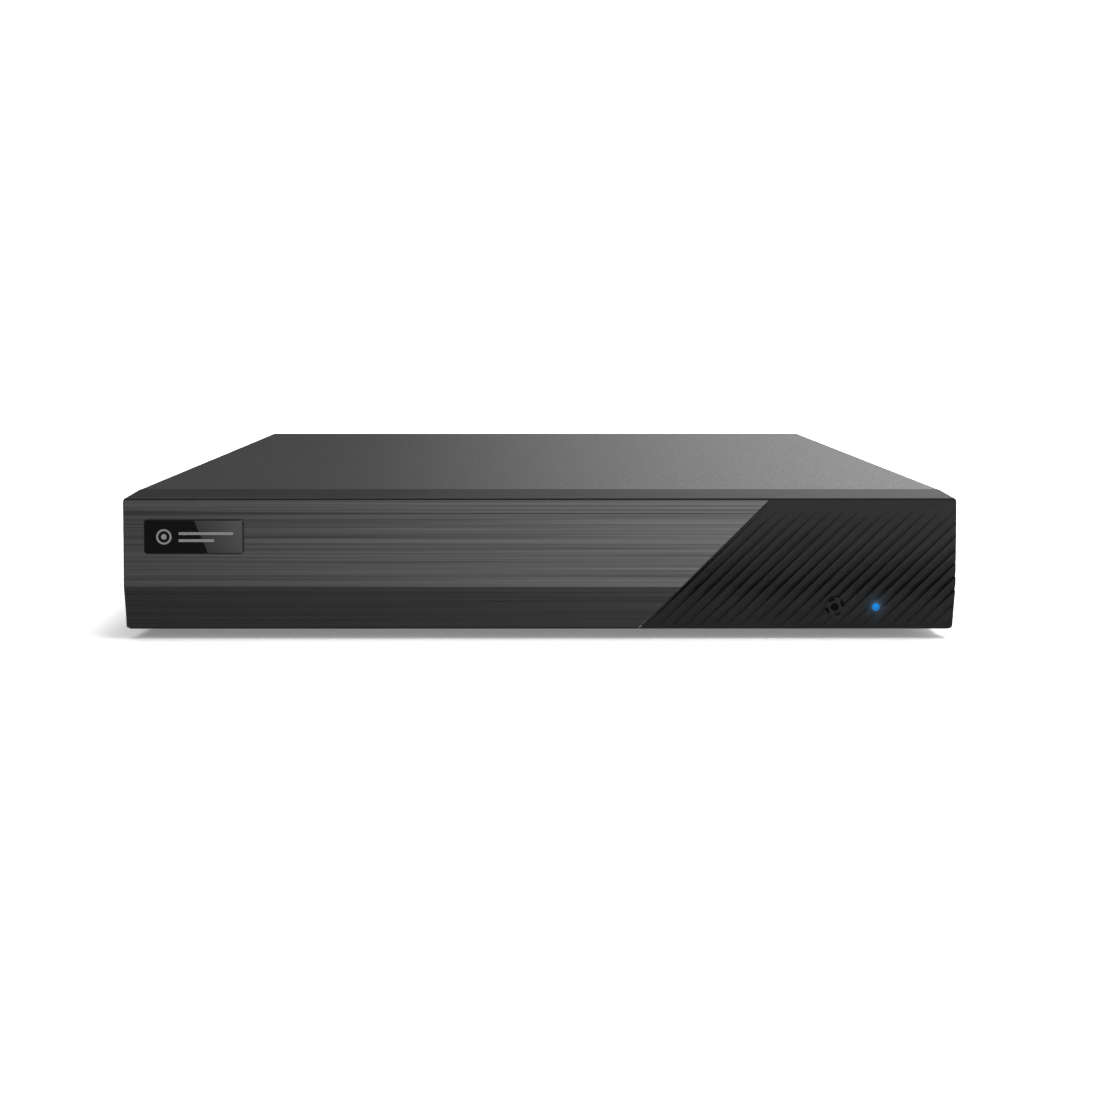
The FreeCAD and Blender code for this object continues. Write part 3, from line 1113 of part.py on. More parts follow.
def parked_heading():
    """The way the parked arm points, in degrees about +Z from +X."""
    across = value("drive_y + drive_width/2 - arm_y")
    return math.degrees(math.atan2(across, value("disc_x - arm_x"))) - value("arm_park")


def arm_and_magnet():
    """The head arm with three blades and its coil, and the fixed magnet plates around the coil."""
    heading = parked_heading()
    hub = rod("arm_x", "arm_y", "blade_low_z", "arm_hub", "2*blade_pitch + blade_thick")
    pieces = [hub]
    for number in range(3):
        body = new_body("blade")
        face = sketch(body, "XY_Plane")
        polygon(face, [(0, "-arm_root"), ("arm_length", "-arm_tip"), ("arm_length", "arm_tip"),
                       (0, "arm_root")])
        pad(body, face, "blade_thick")
        pieces.append(put(body, "arm_x", "arm_y", f"blade_low_z + {number}*blade_pitch",
                          Rotation(Z_AXIS, heading)))
    pieces.append(sector("coil_z", "coil_thick", "arm_hub/2", "coil_reach", "coil_half_angle", heading + 180))
    bore = rod("arm_x", "arm_y", "blade_low_z - over", "axle_radius + axle_gap", "2*blade_pitch + 4*over")
    node("hdd_actuator_arm", cut(fuse(*pieces), bore))


def magnet_yoke():
    """Two plates above and below the coil, with a post at each end of its travel."""
    middle = parked_heading() + 180 + value("arm_travel") / 2
    plates = [sector(low, "yoke_thick", "yoke_inner", "yoke_outer", "yoke_half_angle", middle)
              for low in ("yoke_low_z", "yoke_low_z + yoke_gap")]
    posts = []
    for side in (-1, 1):
        angle = math.radians(middle + side * (value("yoke_half_angle") - value("yoke_room")))
        radius = value("(yoke_inner + yoke_outer)/2")
        posts.append(rod(f"arm_x + {radius * math.cos(angle)}", f"arm_y + {radius * math.sin(angle)}",
                         "yoke_low_z", "yoke_post", "yoke_gap"))
    node("hdd_magnet", fuse(*plates, *posts))


def drive_board():
    """The circuit board under the casting, with both sockets in one moulding at the drive's end."""
    middle_y = "drive_y + drive_width/2"
    board = block("drive_board_x", f"{middle_y} - drive_board_width/2", "drive_z",
                  "drive_x + drive_length - drive_board_x", "drive_board_width", "board_thick")
    sockets = block("drive_x + drive_length - drive_socket_depth + drive_socket_fit",
                    "power_plug_y - power_port_width/2", "drive_z",
                    "drive_socket_depth - drive_socket_fit",
                    "data_plug_y + data_port_width/2 - power_plug_y + power_port_width/2",
                    "drive_socket_low + drive_socket_height - drive_z - 2*drive_socket_fit")
    node("hdd_board", fuse(board, sockets))


# ---------------------------------------------------------------- fasteners

def screw(x, y, z, radius, length, head, head_length, axis="z", back=False):
    """A pan-head screw: (x, y, z) is under the head, and the shank runs along the axis or back along it."""
    spot = {"x": x, "y": y, "z": z}
    shank_start, head_start = dict(spot), dict(spot)
    shank_start[axis] = f"({spot[axis]}) - ({length})" if back else spot[axis]
    head_start[axis] = spot[axis] if back else f"({spot[axis]}) - ({head_length})"
    shank = rod(shank_start["x"], shank_start["y"], shank_start["z"], radius, length, axis)
    cap = rod(head_start["x"], head_start["y"], head_start["z"], head, head_length, axis)
    return fuse(shank, cap)


def fasteners():
    m3 = ("screw_radius", "thread_length", "head_radius", "head_length")
    node("cover_screws", group(*[
        screw(f"{hand}*cover_width/2", f"{end}*cover_screw_y", "cover_screw_z", *m3, axis="x", back=hand > 0)
        for hand in (-1, 1) for end in (-1, 1)]))
    node("board_screws", group(*[
        screw(x, y, "board_z + board_thick", "stud_pilot", "thread_length", "head_radius", "head_length",
              back=True) for x, y in board_studs()]))
    node("hdd_mount_screws", group(*[
        screw(x, y, "floor_z", "screw_radius", "mount_screw_length", "head_radius", "head_length")
        for x, y in drive_mounts()]))
    node("bezel_screws", group(*[
        screw(f"{hand}*boss_x", "lip_y + sheet_steel", level, "pilot_radius", "pilot_depth", "head_radius",
              "head_length", axis="y", back=True)
        for hand in (-1, 1) for level in ("boss_low_z", "boss_high_z")]))
    node("fan_screws", group(*[
        screw(x, "rear_y", z, "fan_screw_radius", "fan_screw_length", "fan_head", "fan_head_length", axis="y",
              back=True) for x, z in corners_of("fan_x", "fan_z", "fan_hole_pitch/2", "fan_hole_pitch/2")]))
    node("hdd_screws", group(*[
        screw(x, y, "drive_z + drive_height", "lid_screw_radius", "lid_screw_length", "lid_screw_head",
              "lid_screw_head_length", back=True) for x, y in lid_screw_places()]))


# ---------------------------------------------------------------- build

def build():
    chassis_base()
    top_cover()
    rubber_feet()
    front_bezel()
    brushed_panel()
    badge_plate()
    lens("ir_window", "window_x", "window_radius")
    lens("led_light_pipe", "light_x", "light_radius")
    front_board()
    front_ribbon_cable()
    main_board()
    chips()
    heatsink()
    coin_cell()
    buzzer()
    drive_ports()
    drive_cable("sata_data_cable", "data_port_x", "data_plug_y", "data_port_width")
    drive_cable("sata_power_cable", "power_port_x", "power_plug_y", "power_port_width")
    video_sockets()
    audio_sockets()
    vga_port()
    hdmi_port()
    lan_port()
    usb_stack()
    control_terminal()
    power_inlet()
    power_switch()
    fan()
    drive_base()
    drive_lid()
    drive_discs()
    arm_and_magnet()
    magnet_yoke()
    drive_board()
    fasteners()


def check_and_write():
    """Every object must have computed and every sub-part must be sound before anything is written."""
    doc.recompute()
    for thing in doc.Objects:
        if "Invalid" in thing.State or "Error" in thing.State:
            raise ValueError(f"{thing.Label} failed: {thing.State}")
    for thing in NODES:
        if thing.Shape.isNull() or not thing.Shape.isValid():
            raise ValueError(f"{thing.Label} has no valid shape")
    os.makedirs("parts", exist_ok=True)
    for thing in NODES:
        thing.Shape.exportStep(f"parts/{thing.Label}.step")
        box = thing.Shape.BoundBox
        print(f"{thing.Label}: {len(thing.Shape.Solids)} solids, {thing.Shape.Volume:.1f} mm3,"
              f" x {box.XMin:.2f}..{box.XMax:.2f} y {box.YMin:.2f}..{box.YMax:.2f}"
              f" z {box.ZMin:.2f}..{box.ZMax:.2f}")
    print(len(NODES), "nodes")


build()
check_and_write()
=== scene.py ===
import json
import math

import bmesh
import bpy
from mathutils import Matrix, Vector


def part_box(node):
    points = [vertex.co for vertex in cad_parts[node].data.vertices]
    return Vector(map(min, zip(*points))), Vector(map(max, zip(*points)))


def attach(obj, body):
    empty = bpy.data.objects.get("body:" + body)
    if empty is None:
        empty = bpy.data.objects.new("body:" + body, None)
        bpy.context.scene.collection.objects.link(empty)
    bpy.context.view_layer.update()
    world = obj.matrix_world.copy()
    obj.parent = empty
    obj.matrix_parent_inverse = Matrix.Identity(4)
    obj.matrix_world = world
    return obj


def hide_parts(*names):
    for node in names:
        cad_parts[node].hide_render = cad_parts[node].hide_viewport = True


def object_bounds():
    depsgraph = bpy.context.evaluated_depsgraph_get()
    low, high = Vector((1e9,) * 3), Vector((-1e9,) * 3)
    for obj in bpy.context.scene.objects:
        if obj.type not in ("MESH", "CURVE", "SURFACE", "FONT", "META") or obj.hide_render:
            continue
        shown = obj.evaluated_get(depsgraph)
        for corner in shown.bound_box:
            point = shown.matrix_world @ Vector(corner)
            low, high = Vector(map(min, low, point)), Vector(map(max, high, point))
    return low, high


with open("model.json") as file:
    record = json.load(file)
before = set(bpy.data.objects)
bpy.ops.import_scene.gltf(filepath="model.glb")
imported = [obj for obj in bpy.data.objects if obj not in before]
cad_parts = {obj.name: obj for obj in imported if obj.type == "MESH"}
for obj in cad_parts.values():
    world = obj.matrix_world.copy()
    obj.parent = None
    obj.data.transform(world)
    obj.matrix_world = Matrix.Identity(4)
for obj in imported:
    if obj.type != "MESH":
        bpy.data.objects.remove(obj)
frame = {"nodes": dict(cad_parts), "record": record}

cad_low, cad_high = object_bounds()
MM = 0.001
BEND = 16.4 * MM               # height at which the front bends
LOWER_RECEDE = 1.7 * MM        # how far the front's lower edge stands back
CREASE = 0.4 * MM              # from the panel's top to just past the groove over it
COVER_COLOUR = (0.0135, 0.0135, 0.0138)
SLOT_OF = {part["node"]: part["material_slot"] for part in frame["record"]["subparts"]}


def middle(node):
    """Middle of a CAD node's box, in metres."""
    low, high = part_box(node)
    return (low + high) / 2


# ---------------------------------------------------------------- procedural materials

class Look:
    """A procedural material: a Principled shader and the nodes that drive it, in the object's coordinates."""

    def __init__(self, name, **sockets):
        self.material = bpy.data.materials.new(name)
        self.material.use_nodes = True
        self.tree = self.material.node_tree
        self.shader = self.tree.nodes["Principled BSDF"]
        for socket, amount in sockets.items():
            self.shader.inputs[socket.replace("_", " ")].default_value = amount
        self.point = self.node("ShaderNodeTexCoord").outputs["Object"]
        split = self.node("ShaderNodeSeparateXYZ")
        self.tree.links.new(self.point, split.inputs[0])
        self.x, self.y, self.z = split.outputs

    def node(self, kind, **settings):
        made = self.tree.nodes.new(kind)
        for setting, value in settings.items():
            setattr(made, setting, value)
        return made

    def feed(self, socket, value):
        if isinstance(value, bpy.types.NodeSocket):
            self.tree.links.new(value, socket)
        else:
            socket.default_value = value

    def drive(self, socket, value):
        """Links a value or colour to one of the shader's own sockets."""
        self.feed(self.shader.inputs[socket], value)
        return self

    def math(self, operation, *operands):
        made = self.node("ShaderNodeMath", operation=operation)
        for number, operand in enumerate(operands):
            self.feed(made.inputs[number], operand)
        return made.outputs[0]

    def noise(self, length, detail=2.0, roughness=0.5, shift=0.0):
        """Noise whose features are about length metres: one length, or one for each axis."""
        lengths = length if isinstance(length, tuple) else (length,) * 3
        scaled = self.node("ShaderNodeVectorMath", operation="MULTIPLY_ADD")
        self.feed(scaled.inputs[0], self.point)
        scaled.inputs[1].default_value = [1 / one for one in lengths]
        scaled.inputs[2].default_value = (shift,) * 3
        made = self.node("ShaderNodeTexNoise")
        self.feed(made.inputs["Vector"], scaled.outputs[0])
        self.feed(made.inputs["Scale"], 1.0)
        self.feed(made.inputs["Detail"], detail)
        self.feed(made.inputs["Roughness"], roughness)
        return made.outputs["Fac"]

    def spread(self, value, low, high, start=0.0, end=1.0, smooth=False):
        """Maps low..high onto start..end and holds it there."""
        made = self.node("ShaderNodeMapRange", clamp=True)
        made.interpolation_type = "SMOOTHSTEP" if smooth else "LINEAR"
        for number, operand in enumerate((value, low, high, start, end)):
            self.feed(made.inputs[number], operand)
        return made.outputs[0]

    def blend(self, share, first, second):
        """Mixes two numbers."""
        made = self.node("ShaderNodeMix", data_type="FLOAT")
        for number, operand in ((0, share), (2, first), (3, second)):
            self.feed(made.inputs[number], operand)
        return made.outputs[0]

    def mix(self, share, first, second):
        """Mixes two colours."""
        made = self.node("ShaderNodeMix", data_type="RGBA")
        self.feed(made.inputs[0], share)
        for number, colour in ((6, first), (7, second)):
            self.feed(made.inputs[number], colour if hasattr(colour, "node") else (*colour, 1.0))
        return made.outputs[2]

    def driver(self, socket):
        """What drives one of the shader's sockets now."""
        return self.shader.inputs[socket].links[0].from_socket

    def relief(self, height, depth, strength=1.0):
        """Bump that stands depth metres high."""
        made = self.node("ShaderNodeBump")
        self.feed(made.inputs["Height"], height)
        self.feed(made.inputs["Distance"], depth)
        self.feed(made.inputs["Strength"], strength)
        return self.drive("Normal", made.outputs[0])

    def distance(self, x=None, y=None, z=None):
        """Distance to a line or point: the axes that are given count."""
        total = None
        for axis, place in ((self.x, x), (self.y, y), (self.z, z)):
            if place is None:
                continue
            gap = self.math("SUBTRACT", axis, place)
            square = self.math("MULTIPLY", gap, gap)
            total = square if total is None else self.math("ADD", total, square)
        return self.math("SQRT", total)

    def inside(self, axis, low, high):
        """1 between low and high along an axis, 0 outside."""
        above = self.math("GREATER_THAN", axis, low)
        return self.math("MULTIPLY", above, self.math("LESS_THAN", axis, high))


def toned(colour, factor):
    return tuple(min(1.0, channel * factor) for channel in colour)


def powder(name, colour, roughness=0.5, grain=0.55 * MM, depth=0.05 * MM):
    """Fine-textured powder coat: small orange-peel bumps, faint clouds, and specks a little lighter."""
    look = Look(name)
    bumps = look.noise(grain, detail=3, roughness=0.6)
    cloud = look.noise(38 * MM, detail=3, shift=4.0)
    speck = look.noise(0.9 * MM, detail=2, roughness=0.7, shift=9.0)
    base = look.mix(look.spread(cloud, 0.35, 0.65), toned(colour, 0.93), toned(colour, 1.07))
    look.drive("Base Color", look.mix(look.spread(speck, 0.42, 0.62), base, toned(colour, 1.35)))
    look.drive("Roughness", look.spread(bumps, 0.3, 0.7, roughness - 0.06, roughness + 0.08))
    return look.relief(bumps, depth, 0.8)


def moulded(name, colour, roughness=0.45, grain=0.35 * MM, depth=0.012 * MM, **sockets):
    """Injection-moulded plastic with a spark-eroded skin and faint flow marks."""
    look = Look(name, **sockets)
    skin = look.noise(grain, detail=2)
    flow = look.noise((26 * MM, 20 * MM, 9 * MM), detail=2, shift=3.0)
    shade = look.mix(look.spread(flow, 0.3, 0.7), toned(colour, 0.88), toned(colour, 1.12))
    look.drive("Base Color", shade)
    look.drive("Roughness", look.spread(skin, 0.3, 0.7, roughness - 0.05, roughness + 0.07))
    return look.relief(skin, depth, 0.6)


def metal(name, colour, roughness=0.3, lay=(0.25 * MM, 0.25 * MM, 0.25 * MM), depth=0.004 * MM, **sockets):
    """Metal with tool or roller marks whose lengths along each axis are lay, and clouds of dull plating."""
    look = Look(name, Metallic=1.0, **sockets)
    marks = look.noise(lay, detail=4, roughness=0.65)
    cloud = look.noise(7 * MM, detail=3, shift=2.0)
    shade = look.mix(look.spread(marks, 0.3, 0.7), toned(colour, 0.86), toned(colour, 1.1))
    look.drive("Base Color", shade)
    look.drive("Roughness", look.spread(cloud, 0.3, 0.7, roughness * 0.8, roughness * 1.3))
    return look.relief(marks, depth, 0.7)


def brushed_front(colour):
    """Dark anodised aluminium brushed along its length: streaks that run the whole panel, with darker
    scratches above the bend."""
    look = Look("brushed_front", Metallic=1.0)
    wide = look.noise((420 * MM, 1.0, 1.15 * MM), detail=3, roughness=0.75)
    fine = look.noise((160 * MM, 1.0, 0.4 * MM), detail=2, roughness=0.6, shift=5.0)
    rare = look.noise((500 * MM, 1.0, 1.9 * MM), detail=2, roughness=0.8, shift=11.0)
    streaks = look.math("ADD", look.math("MULTIPLY", wide, 0.55), look.math("MULTIPLY", fine, 0.45))
    tone = look.spread(streaks, 0.34, 0.66, 0.55, 1.45)
    scratch = look.spread(rare, 0.37, 0.43, 0.76, 1.0)
    upper = look.math("MULTIPLY", tone, scratch)
    lower = look.spread(streaks, 0.34, 0.66, 0.525, 1.575)
    above = look.spread(look.z, BEND - 0.1 * MM, BEND + 0.1 * MM)
    tint = look.node("ShaderNodeVectorMath", operation="SCALE")
    tint.inputs[0].default_value = colour
    look.feed(tint.inputs["Scale"], look.blend(above, lower, upper))
    look.drive("Base Color", tint.outputs[0])
    look.drive("Roughness", look.spread(streaks, 0.3, 0.7, 0.36, 0.26))
    return look.relief(streaks, 0.006 * MM, 0.5)


def bezel_plastic(colour):
    """Satin black moulding: dull down in its grooves, with painted shade that makes the grooves darker and
    the recessed arcs round the window black, and a painted blue glow where the lit pipe would throw its light
    on the face."""
    look = moulded("bezel_plastic", colour, roughness=0.42, Specular_IOR_Level=0.25)
    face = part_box("front_bezel")[0]
    window, light = middle("ir_window"), middle("led_light_pipe")
    crease_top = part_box("brushed_panel")[1].z + CREASE
    recede = look.spread(look.z, face.z, BEND, LOWER_RECEDE, 0.0)
    depth = look.math("SUBTRACT", look.y, look.math("ADD", recede, face.y))
    under_crease = look.math("LESS_THAN", look.z, crease_top)
    front = look.math("MULTIPLY", look.math("LESS_THAN", depth, 3 * MM), under_crease)
    # Painted shade: the face is drawn darker where it lies deeper than its plane, down in the grooves
    painted_shade = look.math("MULTIPLY", look.spread(depth, 0.36 * MM, 0.85 * MM, smooth=True), front)
    # Painted shade: the recessed arcs round the window are drawn black
    arcs = look.math("LESS_THAN", look.distance(x=window.x, z=window.z), 2.97 * MM)
    arcs = look.math("MULTIPLY", arcs, look.math("GREATER_THAN", depth, 0.07 * MM))
    painted_shade = look.math("MAXIMUM", painted_shade, look.math("MULTIPLY", arcs, front))
    look.drive("Base Color", look.mix(painted_shade, look.driver("Base Color"), toned(colour, 0.12)))
    duller = look.math("MULTIPLY", painted_shade, 0.35)
    look.drive("Roughness", look.math("ADD", look.driver("Roughness"), duller))
    # Painted light: a blue glow, drawn as emission on the bezel, that fades away from the light pipe
    glow_strength, glow_fade = 0.27, 1.02 / MM
    reach = look.distance(x=light.x, z=light.z)
    fading = look.math("EXPONENT", look.math("MULTIPLY", reach, -glow_fade))
    glow = look.math("MULTIPLY", fading, glow_strength)
    look.drive("Emission Strength", look.math("MULTIPLY", glow, front))
    look.shader.inputs["Emission Color"].default_value = (0.22, 0.6, 1.0, 1.0)
    return look


def badge_gloss(colour):
    """Polished badge with a dark rim: black on the left of a slanted edge, a soft grey sweep on the right,
    and a plain printed mark of a ring, a dot and two bars."""
    look = Look("badge_gloss", Specular_IOR_Level=0.22)
    low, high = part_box("badge_plate")
    centre = middle("badge_plate")
    edge_top, edge_lean = low.x + 15.2 * MM, -0.42
    slope = look.math("MULTIPLY", look.math("SUBTRACT", look.z, high.z), edge_lean)
    edge = look.math("SUBTRACT", look.x, look.math("ADD", slope, edge_top))
    right = look.spread(edge, -0.1 * MM, 0.1 * MM)
    sweep = look.spread(edge, 0.0, 14 * MM)
    grey = look.mix(sweep, (0.026, 0.026, 0.0265), (0.056, 0.056, 0.058))
    plate = look.mix(right, colour, grey)
    rim_width = 0.3 * MM
    rim = look.math("SUBTRACT", 1.0, look.math(
        "MULTIPLY", look.inside(look.x, low.x + rim_width, high.x - rim_width),
        look.inside(look.z, low.z + rim_width, high.z - rim_width),
    ))
    plate = look.mix(rim, plate, toned(colour, 3.0))
    reach = look.distance(x=low.x + 6.1 * MM, z=centre.z)
    ring = look.inside(reach, 1.75 * MM, 2.35 * MM)
    dot = look.math("LESS_THAN", reach, 0.85 * MM)
    mark = look.math("MAXIMUM", ring, dot)
    bar_start, bar_half = low.x + 10.6 * MM, 0.42 * MM
    for bar_end, rise in ((27.2 * MM, 1.0 * MM), (21.4 * MM, -1.15 * MM)):
        across = look.inside(look.x, bar_start, low.x + bar_end)
        level = look.inside(look.z, centre.z + rise - bar_half, centre.z + rise + bar_half)
        mark = look.math("MAXIMUM", mark, look.math("MULTIPLY", across, level))
    facing = look.math("LESS_THAN", look.y, low.y + 0.1 * MM)
    print_tone = look.mix(look.noise(0.5 * MM), (0.15, 0.15, 0.153), (0.19, 0.19, 0.194))
    look.drive("Base Color", look.mix(look.math("MULTIPLY", mark, facing), plate, print_tone))
    look.drive("Roughness", look.spread(look.noise(5 * MM, detail=3), 0.3, 0.7, 0.1, 0.2))
    return look.relief(look.noise(3 * MM, detail=1, shift=6.0), 0.004 * MM, 0.4)


def video_socket():
    """Nickel shell, white insulator and gilt contact, told apart by the distance from each socket's axis."""
    look = metal("video_socket", (0.7, 0.69, 0.66), roughness=0.24, lay=(0.4 * MM, 0.12 * MM, 0.4 * MM))
    last = middle("bnc_socket_pair_4").x
    half = (middle("bnc_socket_pair_3").x - last) / 2
    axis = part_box("bnc_socket_pair_4")[0].z + 6.4 * MM
    across = look.math("WRAP", look.math("SUBTRACT", look.x, last), half, -half)
    up = look.math("WRAP", look.math("SUBTRACT", look.z, axis), half, -half)
    squares = [look.math("MULTIPLY", gap, gap) for gap in (across, up)]
    reach = look.math("SQRT", look.math("ADD", *squares))
    white = look.math("LESS_THAN", reach, 2.5 * MM)
    gilt = look.math("LESS_THAN", reach, 1.05 * MM)
    shade = look.mix(white, look.driver("Base Color"), (0.72, 0.7, 0.64))
    look.drive("Base Color", look.mix(gilt, shade, (0.75, 0.48, 0.16)))
    look.drive("Metallic", look.math("MAXIMUM", look.math("SUBTRACT", 1.0, white), gilt))
    return look


def audio_housing(colour):
    """Black housing whose two collars are moulded white and red."""
    look = moulded("audio_housing", colour)
    behind = look.math("GREATER_THAN", look.y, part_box("chassis_base")[1].y + 0.02 * MM)
    upper = look.math("GREATER_THAN", look.z, middle("audio_jack_shells").z)
    collar = look.mix(upper, (0.42, 0.02, 0.018), (0.62, 0.61, 0.58))
    look.drive("Base Color", look.mix(behind, look.driver("Base Color"), collar))
    return look


def display_socket():
    """Tin-plated shell round a blue insert."""
    look = metal("display_socket", (0.6, 0.6, 0.58), roughness=0.3, lay=(0.6 * MM, 0.3 * MM, 0.2 * MM))
    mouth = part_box("vga_port")[1].y
    centre = middle("vga_port")
    insert = look.inside(look.z, centre.z - 3.6 * MM, centre.z + 3.6 * MM)
    insert = look.math("MULTIPLY", insert, look.inside(look.x, centre.x - 8 * MM, centre.x + 8 * MM))
    insert = look.math("MULTIPLY", insert, look.inside(look.y, mouth - 5 * MM, mouth - 0.6 * MM))
    look.drive("Base Color", look.mix(insert, look.driver("Base Color"), (0.01, 0.035, 0.33)))
    look.drive("Metallic", look.math("SUBTRACT", 1.0, insert))
    return look


def circuit_board(name, colour):
    """Green solder mask over copper tracks, with tinned pads."""
    look = Look(name)
    tracks = look.node("ShaderNodeTexBrick", offset=0.37, squash=1.0)
    scaled = look.node("ShaderNodeVectorMath", operation="SCALE")
    look.feed(scaled.inputs[0], look.point)
    scaled.inputs["Scale"].default_value = 260.0
    look.feed(tracks.inputs["Vector"], scaled.outputs[0])
    look.feed(tracks.inputs["Mortar Size"], 0.03)
    look.feed(tracks.inputs["Mortar Smooth"], 0.2)
    look.feed(tracks.inputs["Color1"], (*toned(colour, 0.8), 1.0))
    look.feed(tracks.inputs["Color2"], (*toned(colour, 1.2), 1.0))
    look.feed(tracks.inputs["Mortar"], (*toned(colour, 2.4), 1.0))
    pads = look.node("ShaderNodeTexVoronoi", feature="F1")
    look.feed(pads.inputs["Vector"], look.point)
    look.feed(pads.inputs["Scale"], 330.0)
    pad = look.math("LESS_THAN", pads.outputs["Distance"], 0.2)
    look.drive("Base Color", look.mix(pad, tracks.outputs["Color"], (0.5, 0.49, 0.44)))
    look.drive("Roughness", look.spread(look.noise(4 * MM, detail=3), 0.3, 0.7, 0.28, 0.42))
    return look.relief(tracks.outputs["Fac"], 0.03 * MM, 0.4)


def ringed(name, colour, centre, roughness):
    """Machined metal with turning marks round an upright axis at centre."""
    look = Look(name, Metallic=1.0)
    reach = look.distance(x=centre.x, y=centre.y)
    turning = look.math("SINE", look.math("MULTIPLY", reach, 2 * math.pi / (0.6 * MM)))
    grain = look.math("MULTIPLY", look.noise(0.3 * MM), 0.5)
    marks = look.math("ADD", look.spread(turning, -1, 1, 0, 0.5), grain)
    look.drive("Base Color", look.mix(marks, toned(colour, 0.9), toned(colour, 1.08)))
    cloud = look.noise(6 * MM, detail=3)
    look.drive("Roughness", look.spread(cloud, 0.3, 0.7, roughness * 0.8, roughness * 1.25))
    return look.relief(marks, 0.002 * MM, 0.5)


def ribbon(colour):
    """Flat cable of parallel wires, with painted shade in the grooves between them."""
    look = Look("ribbon_grey", Roughness=0.5)
    wires = look.math("SINE", look.math("MULTIPLY", look.x, 2 * math.pi / (1.27 * MM)))
    # Painted shade: darker down between the wires, where the bump sinks
    look.drive("Base Color", look.mix(look.spread(wires, -1, 1), toned(colour, 0.6), colour))
    return look.relief(look.spread(wires, -1, 1), 0.3 * MM, 0.6)


def lit_pipe():
    """Clear light pipe lit blue from behind, brightest in the middle."""
    look = Look("light_plastic", Roughness=0.25)
    light = middle("led_light_pipe")
    reach = look.spread(look.distance(x=light.x, z=light.z), 0.3 * MM, 1.3 * MM, smooth=True)
    look.drive("Emission Color", look.mix(reach, (0.003, 0.235, 0.7), (0.002, 0.15, 0.48)))
    look.shader.inputs["Emission Strength"].default_value = 1.0
    look.drive("Base Color", look.mix(look.noise(0.4 * MM), (0.002, 0.01, 0.03), (0.004, 0.02, 0.05)))
    return look


def rubber(name, colour):
    look = Look(name, Sheen_Weight=0.15, Specular_IOR_Level=0.3)
    dust = look.noise(2.2 * MM, detail=4, roughness=0.7)
    look.drive("Base Color", look.mix(look.spread(dust, 0.4, 0.75), toned(colour, 0.8), toned(colour, 1.7)))
    look.drive("Roughness", look.spread(dust, 0.3, 0.7, 0.72, 0.86))
    return look.relief(look.noise(0.3 * MM), 0.03 * MM, 0.6)


disc_centre = middle("hdd_spindle")
LOOKS = {
    "case_paint": powder("case_paint", COVER_COLOUR, roughness=0.46, grain=0.8 * MM, depth=0.12 * MM),
    "chassis_paint": powder("chassis_paint", COVER_COLOUR, roughness=0.5),
    "bezel_plastic": bezel_plastic((0.0135, 0.0135, 0.0139)),
    "brushed_front": brushed_front((0.2, 0.2, 0.204)),
    "badge_gloss": badge_gloss((0.0012, 0.0012, 0.0013)),
    "window_plastic": moulded(
        "window_plastic", (0.002, 0.002, 0.0024), roughness=0.2, depth=0.002 * MM, Specular_IOR_Level=0.2,
    ),
    "light_plastic": lit_pipe(),
    "foot_rubber": rubber("foot_rubber", (0.016, 0.016, 0.016)),
    "circuit_board": circuit_board("circuit_board", (0.008, 0.075, 0.03)),
    "led_clear": moulded("led_clear", (0.5, 0.55, 0.62), roughness=0.15, Coat_Weight=0.4),
    "chip_black": moulded("chip_black", (0.014, 0.014, 0.015), roughness=0.55),
    "ribbon_grey": ribbon((0.36, 0.36, 0.37)),
    "bare_aluminium": metal(
        "bare_aluminium", (0.58, 0.58, 0.6), roughness=0.38, lay=(0.2 * MM, 6 * MM, 0.2 * MM),
    ),
    "capacitor_can": moulded("capacitor_can", (0.012, 0.02, 0.09), roughness=0.28, Coat_Weight=0.5),
    "moulded_black": moulded("moulded_black", (0.014, 0.014, 0.015), roughness=0.42),
    "cell_steel": metal("cell_steel", (0.62, 0.62, 0.6), roughness=0.22, lay=(4 * MM, 0.2 * MM, 0.2 * MM)),
    "nickel": metal("nickel", (0.68, 0.67, 0.64), roughness=0.22),
    "tinned_steel": metal(
        "tinned_steel", (0.58, 0.58, 0.57), roughness=0.32, lay=(0.2 * MM, 3 * MM, 0.2 * MM),
    ),
    "zinc_screw": metal("zinc_screw", (0.55, 0.55, 0.52), roughness=0.34),
    "black_screw": metal("black_screw", (0.035, 0.035, 0.037), roughness=0.4),
    "terminal_green": moulded("terminal_green", (0.012, 0.19, 0.055), roughness=0.4),
    "lever_orange": moulded("lever_orange", (0.6, 0.15, 0.012), roughness=0.38),
    "rocker_black": moulded("rocker_black", (0.01, 0.01, 0.0105), roughness=0.26),
    "cast_aluminium": metal(
        "cast_aluminium", (0.4, 0.4, 0.41), roughness=0.5, lay=(0.7 * MM,) * 3, depth=0.03 * MM,
    ),
    "lid_steel": metal("lid_steel", (0.58, 0.58, 0.59), roughness=0.34, lay=(0.2 * MM, 8 * MM, 0.2 * MM)),
    "disc_mirror": ringed("disc_mirror", (0.78, 0.78, 0.8), disc_centre, 0.06),
    "hub_aluminium": ringed("hub_aluminium", (0.62, 0.62, 0.64), disc_centre, 0.28),
    "magnet_nickel": metal("magnet_nickel", (0.6, 0.6, 0.57), roughness=0.2),
    "cable_red": moulded("cable_red", (0.38, 0.015, 0.015), roughness=0.4),
    "cable_black": moulded("cable_black", (0.015, 0.015, 0.015), roughness=0.5),
}
OWN_LOOKS = {
    "vga_port": display_socket(),
    "audio_jack_housing": audio_housing((0.014, 0.014, 0.015)),
}
socket_look = video_socket()
for number in range(1, 5):
    OWN_LOOKS[f"bnc_socket_pair_{number}"] = socket_look


def dress(obj, look):
    obj.data.materials.clear()
    obj.data.materials.append(look.material)
    return obj


for name, node in frame["nodes"].items():
    dress(node, OWN_LOOKS.get(name, LOOKS[SLOT_OF[name]]))


# ---------------------------------------------------------------- screws with a domed head and a cross recess

